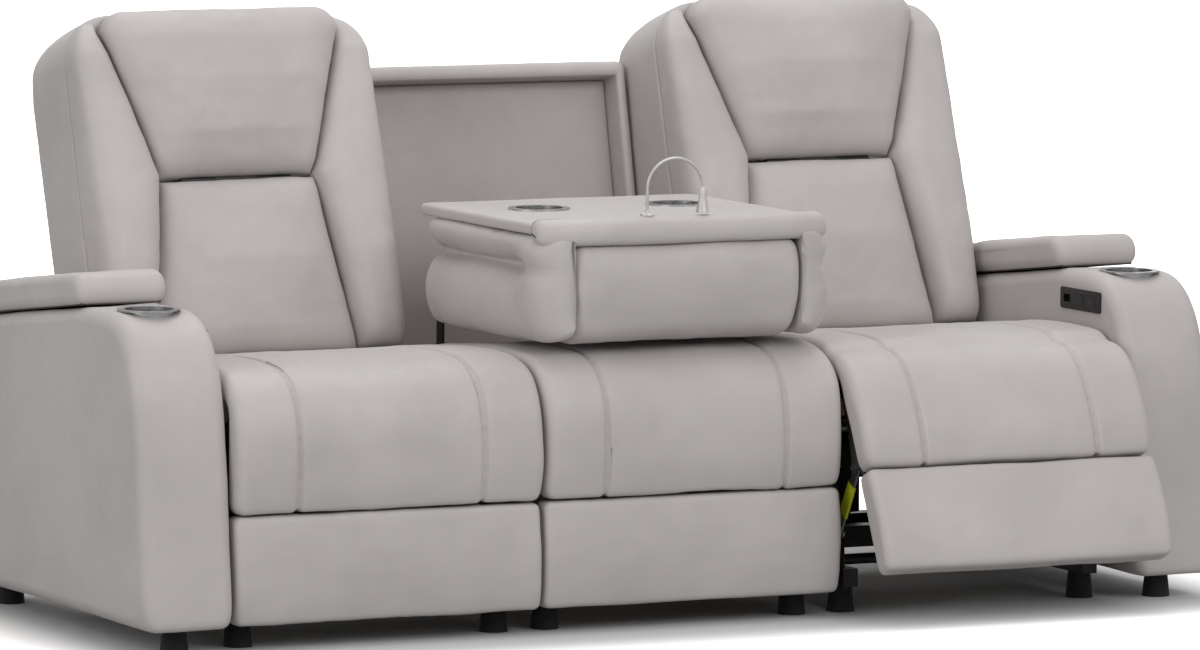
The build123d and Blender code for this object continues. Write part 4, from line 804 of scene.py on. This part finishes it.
# ------------ console
TABLE_Z, CONSOLE_LOW = 0.737, 0.516
CORE_HALF, CORE_FRONT, CORE_REAR = 0.224, 0.229, 0.5638
PAD_TOP = TABLE_Z - 0.0223
BAND_LOW, BAND_TOP = 0.696, 0.746     # padded band along the console's front edge
CONSOLE_HALF, TABLE_HALF = 0.297, 0.2855
TABLE_FRONT, TABLE_REAR, TABLE_CORNER = 0.0645, 0.5655, 0.024
CONSOLE_CUP, CORE_CUP_HOLE, TABLE_CUP_HOLE = (0.141, 0.345), 0.0458, 0.0462
CUP_FLOOR, UNDER_TABLE, ABOVE_TABLE = 0.662, 0.700, 0.760


def pillow_outline():
    low, high = CONSOLE_LOW, BAND_LOW + 0.004
    return loop((0.226, low + 0.016), (20, (0.226, PAD_TOP)), (16, (0.066, PAD_TOP)), (2, (0.060, high)),
                (20, (0.036, high), (0.018, high - 0.002), (0.013, high - 0.022)),
                (50, (0.004, 0.660), (0.002, 0.600), (0.014, 0.566)),
                (36, (0.022, 0.528), (0.050, low - 0.003), (0.100, low - 0.001)),
                (24, (0.150, low), (0.200, low + 0.006), (0.226, low + 0.016)), count=240, soften=0.006)


pillow = lofted("pillow", across(pillow_outline(), rounded_ends(CORE_HALF + 0.002, edge=0.022, steps=12)))
padding(pillow, (0.0045, 0.14, 70), (0.0015, 0.036, 72), (0.7, 1, 1))
upholster(pillow, "console_pillow", fill=0.85, body="console")

band_outline = loop((0.0635, BAND_LOW + 0.012),
                    (14, (0.0635, BAND_TOP - 0.008), (0.060, BAND_TOP), (0.044, BAND_TOP)),
                    (24, (0.022, BAND_TOP), (0.008, BAND_TOP - 0.010), (0.009, BAND_LOW + 0.014)),
                    (14, (0.010, BAND_LOW), (0.020, BAND_LOW - 0.001), (0.036, BAND_LOW + 0.001)),
                    (10, (0.0635, BAND_LOW + 0.012)), count=90, soften=0.004)
band_rings = []
for x, edge, _ in rounded_ends(CONSOLE_HALF - 0.002, edge=0.019, step=0.014, steps=12):
    moved = drawn_in(band_outline, edge)
    sweep = 0.016 * smooth((abs(x) - 0.215) / 0.080)
    band_rings.append(np.array([(x, FRONT + y + sweep * (1 if y < 0.050 else 0.25), z) for y, z in moved]))
band = lofted("console_band", band_rings)
padding(band, (0.0022, 0.10, 77), (0.0008, 0.03, 78), (0.7, 1, 1))
upholster(band, "console_pillow", fill=0.85, body="console")

core_outline = loop((CORE_FRONT, CONSOLE_LOW + 0.016),
                    (50, (0.300, CONSOLE_LOW - 0.002), (0.500, CONSOLE_LOW - 0.002),
                     (0.556, CONSOLE_LOW + 0.034)),
                    (6, (CORE_REAR, CONSOLE_LOW + 0.060)), (24, (CORE_REAR, PAD_TOP)),
                    (30, (CORE_FRONT, PAD_TOP)), (20, (CORE_FRONT, CONSOLE_LOW + 0.016)),
                    count=200, soften=0.005)
core = lofted("console_body", across(core_outline, rounded_ends(CORE_HALF, edge=0.016)))
ruffle(core, 0.0022, 0.12, 74)


def cup_wells(radius, low, high):
    x, y = CONSOLE_CUP
    return [prism(circle((sign * x, FRONT + y), radius), "z", low, high) for sign in (-1, 1)]


cut(core, cup_wells(CORE_CUP_HOLE, CUP_FLOOR, ABOVE_TABLE))
core.data.set_sharp_from_angle(angle=radians(SHARP))
upholster(core, "console_core", fill=0.7, body="console")

table_rings = []
for z, drawn in ((0.7152, 0.006), (0.7160, 0.0028), (0.7182, 0.0007), (0.7215, 0.0), (0.7290, 0.0),
                 (0.7325, 0.0010), (0.7350, 0.0032), (0.7364, 0.0068), (0.7370, 0.013), (0.7372, 0.05),
                 (0.7372, 0.12)):
    points = ring_rectangle(TABLE_HALF - drawn, TABLE_FRONT + drawn, TABLE_REAR - drawn,
                            max(TABLE_CORNER - drawn, 0.006))
    table_rings.append(np.array([(x, FRONT + y, z) for x, y in points]))
table = lofted("table_pad", table_rings)
ruffle(table, 0.0007, 0.09, 79)
cut(table, cup_wells(TABLE_CUP_HOLE, UNDER_TABLE, ABOVE_TABLE))
table.data.set_sharp_from_angle(angle=radians(SHARP))
finish_piece(table, COVER, "table_laminate", "console_table", body="console")


BOLSTER_FRONT, BOLSTER_REAR, BOLSTER_INNER, BOLSTER_MIDDLE = 0.011, 0.528, 0.2285, 0.615
FRONT_ROUND, REAR_ROUND = 0.070, 0.040


def bolster_section(creased):
    """(x, z) across one side of the console: a fat lower bulge, a crease and a slim roll under the table.
    The crease is full where creased is 1 and gone where it is 0."""
    inner, low, high, outer = BOLSTER_INNER, CONSOLE_LOW + 0.002, PAD_TOP, CONSOLE_HALF
    crease = CONSOLE_LOW + 0.138
    dent = 0.040 * creased
    waist = outer - dent
    return loop((inner, low + 0.010), (30, (inner, high)), (8, (inner + 0.034, high)),
                (36, (outer + 0.004, high + 0.003), (outer + 0.014, high - 0.034), (waist, crease + 0.005)),
                (10, (waist - 0.004 * creased, crease), (waist - 0.002 * creased, crease - 0.003),
                 (outer - 0.6 * dent, crease - 0.010)),
                (50, (outer + 0.016, crease - 0.030), (outer + 0.010, low + 0.004), (inner + 0.036, low)),
                (12, (inner + 0.020, low), (inner, low + 0.002), (inner, low + 0.010)),
                count=180, soften=0.003)


for side, sign in SIDES.items():
    rings = []
    for place in np.linspace(0, 1, 120):
        # denser towards both ends
        y = BOLSTER_FRONT + (BOLSTER_REAR - BOLSTER_FRONT) * (0.5 - 0.5 * cos(pi * place))
        full = min(superround((y - BOLSTER_FRONT) / FRONT_ROUND, 2.1),
                   superround((BOLSTER_REAR - y) / REAR_ROUND, 2.2))
        section = bolster_section(smooth((y - 0.060) / 0.120))
        wide, below = 0.18 + 0.82 * full, 0.70 + 0.30 * full
        above = 0.93 + 0.07 * full if y < 0.25 else 0.74 + 0.26 * full
        rise = [(z - BOLSTER_MIDDLE) * (above if z > BOLSTER_MIDDLE else below) for _, z in section]
        rings.append(np.array([(sign * (BOLSTER_INNER + (x - BOLSTER_INNER) * wide), FRONT + y,
                                BOLSTER_MIDDLE + dz) for (x, _), dz in zip(section, rise)]))
    piece = lofted(f"console_bolster_{side}", rings)
    padding(piece, (0.0048, 0.11, 80 + 3 * sign), (0.0014, 0.035, 84 + sign))
    upholster(piece, "console_bolsters", fill=0.75, body="console")

# ------------ reading lamp
def turned_round(name, centre, base, profile, count=40):
    """A solid turned about an upright axis, from (radius, height above base) pairs."""
    rings = [np.array([(x, y, base + rise) for x, y in circle(centre, radius, count)])
             for radius, rise in profile]
    return lofted(name, rings, sharp=40)


LAMP_PLACE, LAMP_BASE = (-0.070, FRONT + 0.044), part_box("reading_lamp")[0].z
LAMP_RISE, LAMP_BEND, STEM = 0.104, 0.056, 0.0027
lamp_foot = turned_round("lamp_foot", LAMP_PLACE, LAMP_BASE, (
    (0.0125, 0), (0.0130, 0.0006), (0.0130, 0.0040), (0.0122, 0.0054), (0.0095, 0.0063), (0.0042, 0.0070),
    (0.0034, 0.0100)))
bend_z = LAMP_BASE + LAMP_RISE - LAMP_BEND
# (along x, z, angle of the stem) from the foot round the bend and into the head
stem_path = [(0.0, z, 0.0) for z in np.linspace(LAMP_BASE + 0.005, bend_z, 12)]
stem_path += [(LAMP_BEND * (1 - cos(a)), bend_z + LAMP_BEND * sin(a), a)
              for a in np.linspace(0, pi, 48)[1:]]
stem_path += [(2 * LAMP_BEND, bend_z - 0.004, pi)]
stem_rings = [np.array([(LAMP_PLACE[0] + along - STEM * cos(b) * cos(a), LAMP_PLACE[1] + STEM * sin(b),
                         z + STEM * cos(b) * sin(a)) for b in np.linspace(0, 2 * pi, 16, endpoint=False)])
              for along, z, a in stem_path]
lamp_stem = lofted("lamp_stem", stem_rings)
head_place = (LAMP_PLACE[0] + 2 * LAMP_BEND, LAMP_PLACE[1])
lamp_head = turned_round("lamp_head", head_place, bend_z + 0.002, (
    (0.0040, 0), (0.0052, -0.0006), (0.0060, -0.0030), (0.0066, -0.0160), (0.0088, -0.0300),
    (0.0118, -0.0440), (0.0120, -0.0456), (0.0114, -0.0460), (0.0104, -0.0452), (0.0076, -0.0310),
    (0.0040, -0.0290)))
for piece in (lamp_foot, lamp_stem, lamp_head):
    finish_piece(piece, LAMP, "lamp_metal", "reading_lamp", body="lamp")

# ------------ finishes of the pieces that stay
KEPT = (
    (BLACK_STEEL, "black_steel",
     "base_frame mechanism_plates actuators back_steel console_brackets console_arms"),
    (ZINC, "black_steel", "torque_tube coupler_bars lid_hinges"),
    (RUBBER, "black_plastic", "feet"),
    (BLACK, "black_plastic", "drive_block storage_bins recline_rocker headrest_rocker"),
    (GLOSS, "black_plastic", "switch_plates"),
    (YELLOW, "yellow_plastic", "coupler_sleeves"),
    (WOOD, "timber", "seat_frames"),
    (BOARD_PAINT, "board", "footrest_frame headrest_board lid_board"),
    (BRUSHED, "cup_steel", "arm_cups console_cups"),
)
FINISH = {kind: (material, slot) for material, slot, kinds in KEPT for kind in kinds.split()}
for name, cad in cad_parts.items():
    kind = name.removesuffix("_left").removesuffix("_right")
    if kind in FINISH and not cad.hide_render:
        material, slot = FINISH[kind]
        cad.data.materials.clear()
        cad.data.materials.append(material)

# ------------ floor, light and camera
FLOOR_REACH, FLOOR_TONE = 30.0, (0.45, 0.45, 0.45, 1)      # the tone is what all but the camera's rays meet
FLOOR_GAIN = (1.3, 4.5, 1.95, 4.2)            # two distances from the middle, and the floor's tones there
PAINTED_SHADOW_AREA = ((0.0, 1.02), (0.10, 0.55))      # (middle, half size) of the painted shadow under the sofa, along x and y
PAINTED_FLOOR_SHADOW = (0.0, 0.30, 0.34, 1.0)          # two distances past that, and the shares of the tone there, where the painted shadow fades out
floor_mesh = bpy.data.meshes.new("floor")
floor_mesh.from_pydata([(a * FLOOR_REACH, b * FLOOR_REACH, 0) for a, b in CORNERS], [], [(0, 1, 2, 3)])
floor = bpy.data.objects.new("floor", floor_mesh)
bpy.context.scene.collection.objects.link(floor)
made, tree, bsdf = shader("floor_with_painted_shadow")
place = linked(tree, "TexCoord").outputs["Object"]
# to the camera the floor is white wherever no shadow falls, also far out where the lamps are weak
far = linked(tree, "VectorMath", place, operation="LENGTH").outputs["Value"]
bright = linked(tree, "MapRange", far, *FLOOR_GAIN).outputs["Result"]
# and darker under the sofa and just behind it: a painted shadow, nearly black there
split = linked(tree, "SeparateXYZ", place)
beyond = []
for axis, (middle, half) in enumerate(PAINTED_SHADOW_AREA):
    shifted = linked(tree, "Math", split.outputs[axis], middle, operation="SUBTRACT").outputs[0]
    size = linked(tree, "Math", shifted, operation="ABSOLUTE").outputs[0]
    past = linked(tree, "Math", size, half, operation="SUBTRACT").outputs[0]
    beyond.append(linked(tree, "Math", past, 0.0, operation="MAXIMUM").outputs[0])
gap = linked(tree, "CombineXYZ", *beyond).outputs[0]
off = linked(tree, "VectorMath", gap, operation="LENGTH").outputs["Value"]
painted_shadow_share = linked(tree, "MapRange", off, *PAINTED_FLOOR_SHADOW, interpolation_type="SMOOTHSTEP")
floor_seen = linked(tree, "Math", bright, painted_shadow_share.outputs["Result"], operation="MULTIPLY").outputs[0]
tone = linked(tree, "Mix", linked(tree, "LightPath").outputs["Is Camera Ray"], data_type="RGBA")
tone.inputs["A"].default_value = FLOOR_TONE
tree.links.new(floor_seen, tone.inputs["B"])
tree.links.new(tone.outputs["Result"], bsdf.inputs["Base Color"])
bsdf.inputs["Roughness"].default_value = 0.9
bsdf.inputs["Specular IOR Level"].default_value = 0.1
floor_mesh.materials.append(made)

world = bpy.data.worlds.new("studio")
bpy.context.scene.world = world
world.use_nodes = True
tree = world.node_tree
tree.nodes.clear()
rays = linked(tree, "LightPath").outputs
seen = linked(tree, "Math", rays["Is Camera Ray"], rays["Is Glossy Ray"], operation="MAXIMUM").outputs[0]
seen = linked(tree, "Math", seen, rays["Is Transmission Ray"], operation="MAXIMUM").outputs[0]
lit = linked(tree, "Background", (1.0, 0.99, 0.98, 1), 0.46).outputs[0]
white = linked(tree, "Background", (1, 1, 1, 1), 1.0).outputs[0]
mix = linked(tree, "MixShader", seen, lit, white).outputs[0]
linked(tree, "OutputWorld", mix)


def lamp(name, place, aim, size, power):
    light = bpy.data.lights.new(name, "AREA")
    light.shape, light.size, light.energy = "SQUARE", size, power
    holder = bpy.data.objects.new(name, light)
    bpy.context.scene.collection.objects.link(holder)
    holder.location = place
    holder.rotation_mode = "QUATERNION"
    holder.rotation_quaternion = (Vector(aim) - Vector(place)).to_track_quat("-Z", "Y")


lamp("key", (0.8, -6.2, 3.9), (0, 0, 0.5), 3.4, 178)
lamp("fill", (-4.8, -1.8, 2.2), (-0.4, 0, 0.6), 3.0, 68)
lamp("top", (0.4, 0.6, 3.8), (0, 0, 0.5), 3.0, 54)

YAW, PITCH, ROLL = radians(26.33), radians(5.55), radians(0.36)
FOCAL_PIXELS, FRAME_PIXELS, SENSOR = 8489.0, 1200.0, 36.0
CAMERA_PLACE = (-6.9214, -13.611 + FRONT, 2.0319)
ahead = Vector((sin(YAW) * cos(PITCH), cos(YAW) * cos(PITCH), -sin(PITCH)))
right = Vector((cos(YAW), -sin(YAW), 0))
up = right.cross(ahead)
right, up = cos(ROLL) * right + sin(ROLL) * up, cos(ROLL) * up - sin(ROLL) * right
camera = bpy.data.objects.new("camera", bpy.data.cameras.new("camera"))
bpy.context.scene.collection.objects.link(camera)
camera.data.sensor_width = SENSOR
camera.data.sensor_fit = "HORIZONTAL"
camera.data.lens = FOCAL_PIXELS / FRAME_PIXELS * SENSOR
camera.data.clip_end = 100.0
camera.rotation_mode = "QUATERNION"
camera.rotation_quaternion = Matrix((right, up, -ahead)).transposed().to_quaternion()
camera.location = CAMERA_PLACE
bpy.context.scene.camera = camera
bpy.context.scene.view_settings.view_transform = "Standard"
